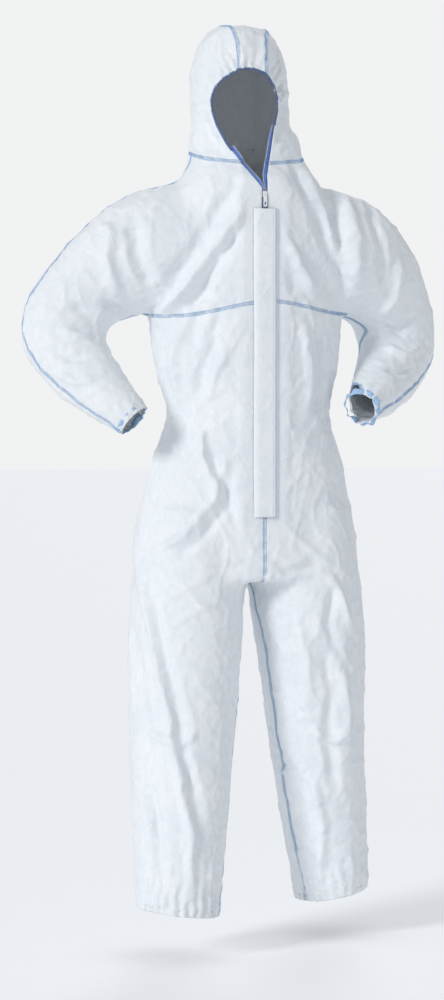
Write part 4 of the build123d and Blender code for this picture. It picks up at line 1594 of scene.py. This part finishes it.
class Studio:
    """Floor, soft lights and the camera."""

    floor_drop: float = 0.07
    camera_far: float = 6.0
    eye: float = 0.988
    lens: float = 111.6
    pan: float = math.atan(24 / 3100)
    pitch: float = math.atan(100 / 3100)

    def build(self) -> None:
        """Makes the surroundings."""
        self.floor()
        self.world()
        self.lamp("key", (-4.4, -2.6, 3.2), 14.0, 1.35)
        self.lamp("fill", (3.0, -4.0, 1.2), 40.0, 0.12)
        self.lamp("rear", (1.6, 3.6, 2.6), 25.0, 0.5)
        self.camera()

    def floor(self) -> None:
        """Makes the pale floor."""
        bm = bmesh.new()
        bmesh.ops.create_grid(bm, x_segments=1, y_segments=1, size=40.0)
        bmesh.ops.translate(bm, verts=bm.verts, vec=(0, 0, -self.floor_drop))
        floor = object_from(bm, "floor")
        shop = Shop("pale_floor", **{"Emission Color": (0.95, 0.97, 1.0, 1.0), "Emission Strength": 0.11})
        cloud = shop.cloud(1.5, 3.0)
        floor.data.materials.append(shop.finish(shop.blend(cloud, (0.95, 0.955, 0.96), (0.97, 0.97, 0.975)),
                                                0.75 + cloud * 0.1, []))

    @staticmethod
    def world() -> None:
        """Makes an even pale surround."""
        world = bpy.data.worlds.new("surround")
        world.use_nodes = True
        tree = world.node_tree
        light = tree.nodes["Background"]
        light.inputs[0].default_value = (0.92, 0.95, 1.0, 1.0)
        light.inputs[1].default_value = 0.53
        seen = tree.nodes.new("ShaderNodeBackground")
        seen.inputs[0].default_value = (0.88, 0.885, 0.89, 1.0)
        path = tree.nodes.new("ShaderNodeLightPath")
        both = tree.nodes.new("ShaderNodeMixShader")
        for start, end in ((path.outputs["Is Camera Ray"], both.inputs[0]),
                           (light.outputs[0], both.inputs[1]),
                           (seen.outputs[0], both.inputs[2]),
                           (both.outputs[0], tree.nodes["World Output"].inputs["Surface"])):
            tree.links.new(start, end)
        bpy.context.scene.world = world
        bpy.context.scene.view_settings.view_transform = "Standard"

    @staticmethod
    def lamp(name: str, place: tuple[float, float, float], spread: float, power: float) -> None:
        """Makes one soft, even lamp aimed at the chest, with its spread in degrees."""
        data = bpy.data.lights.new(name, "SUN")
        data.angle = math.radians(spread)
        data.energy = power
        made = bpy.data.objects.new(name, data)
        made.location = place
        made.rotation_euler = (Vector((0, 0, 1.0)) - Vector(place)).to_track_quat("-Z", "Y").to_euler()
        bpy.context.scene.collection.objects.link(made)

    def camera(self) -> None:
        """Makes the camera, at the worn suit's left of centre and chest high."""
        data = bpy.data.cameras.new("camera")
        data.sensor_width = 36.0
        data.lens = self.lens
        made = bpy.data.objects.new("camera", data)
        made.location = -VIEW_AHEAD * self.camera_far + Vector((0, 0, self.eye))
        level = VIEW_AHEAD * math.cos(self.pan) - VIEW_RIGHT * math.sin(self.pan)
        aim = level * math.cos(self.pitch) - Vector((0, 0, math.sin(self.pitch)))
        made.rotation_euler = aim.to_track_quat("-Z", "Y").to_euler()
        bpy.context.scene.collection.objects.link(made)
        bpy.context.scene.camera = made


def main() -> None:
    """Builds the coverall, piece by piece."""
    logging.basicConfig(level=logging.INFO, format="%(message)s")
    Studio().build()
    wardrobe = Wardrobe()
    form = SuitForm()
    cloth = Cloth(form, Pattern(form), wardrobe)
    cloth.build()
    stitching, ribbon = Stitching(wardrobe), Ribbon(wardrobe)
    for name, lines in sorted(cloth.seams.items()):
        stitching.sew(f"{name}_thread", lines, name, hood=name.startswith("hood_"))
    Closure(cloth, ribbon).build()
    StormFlap(wardrobe, stitching, ribbon).build()
    Elastics(cloth, ribbon).build()
    wardrobe.repaint("neck_label", Finish.LABEL)
    LOG.info("neck_label repainted")


if __name__ == "__main__":
    main()
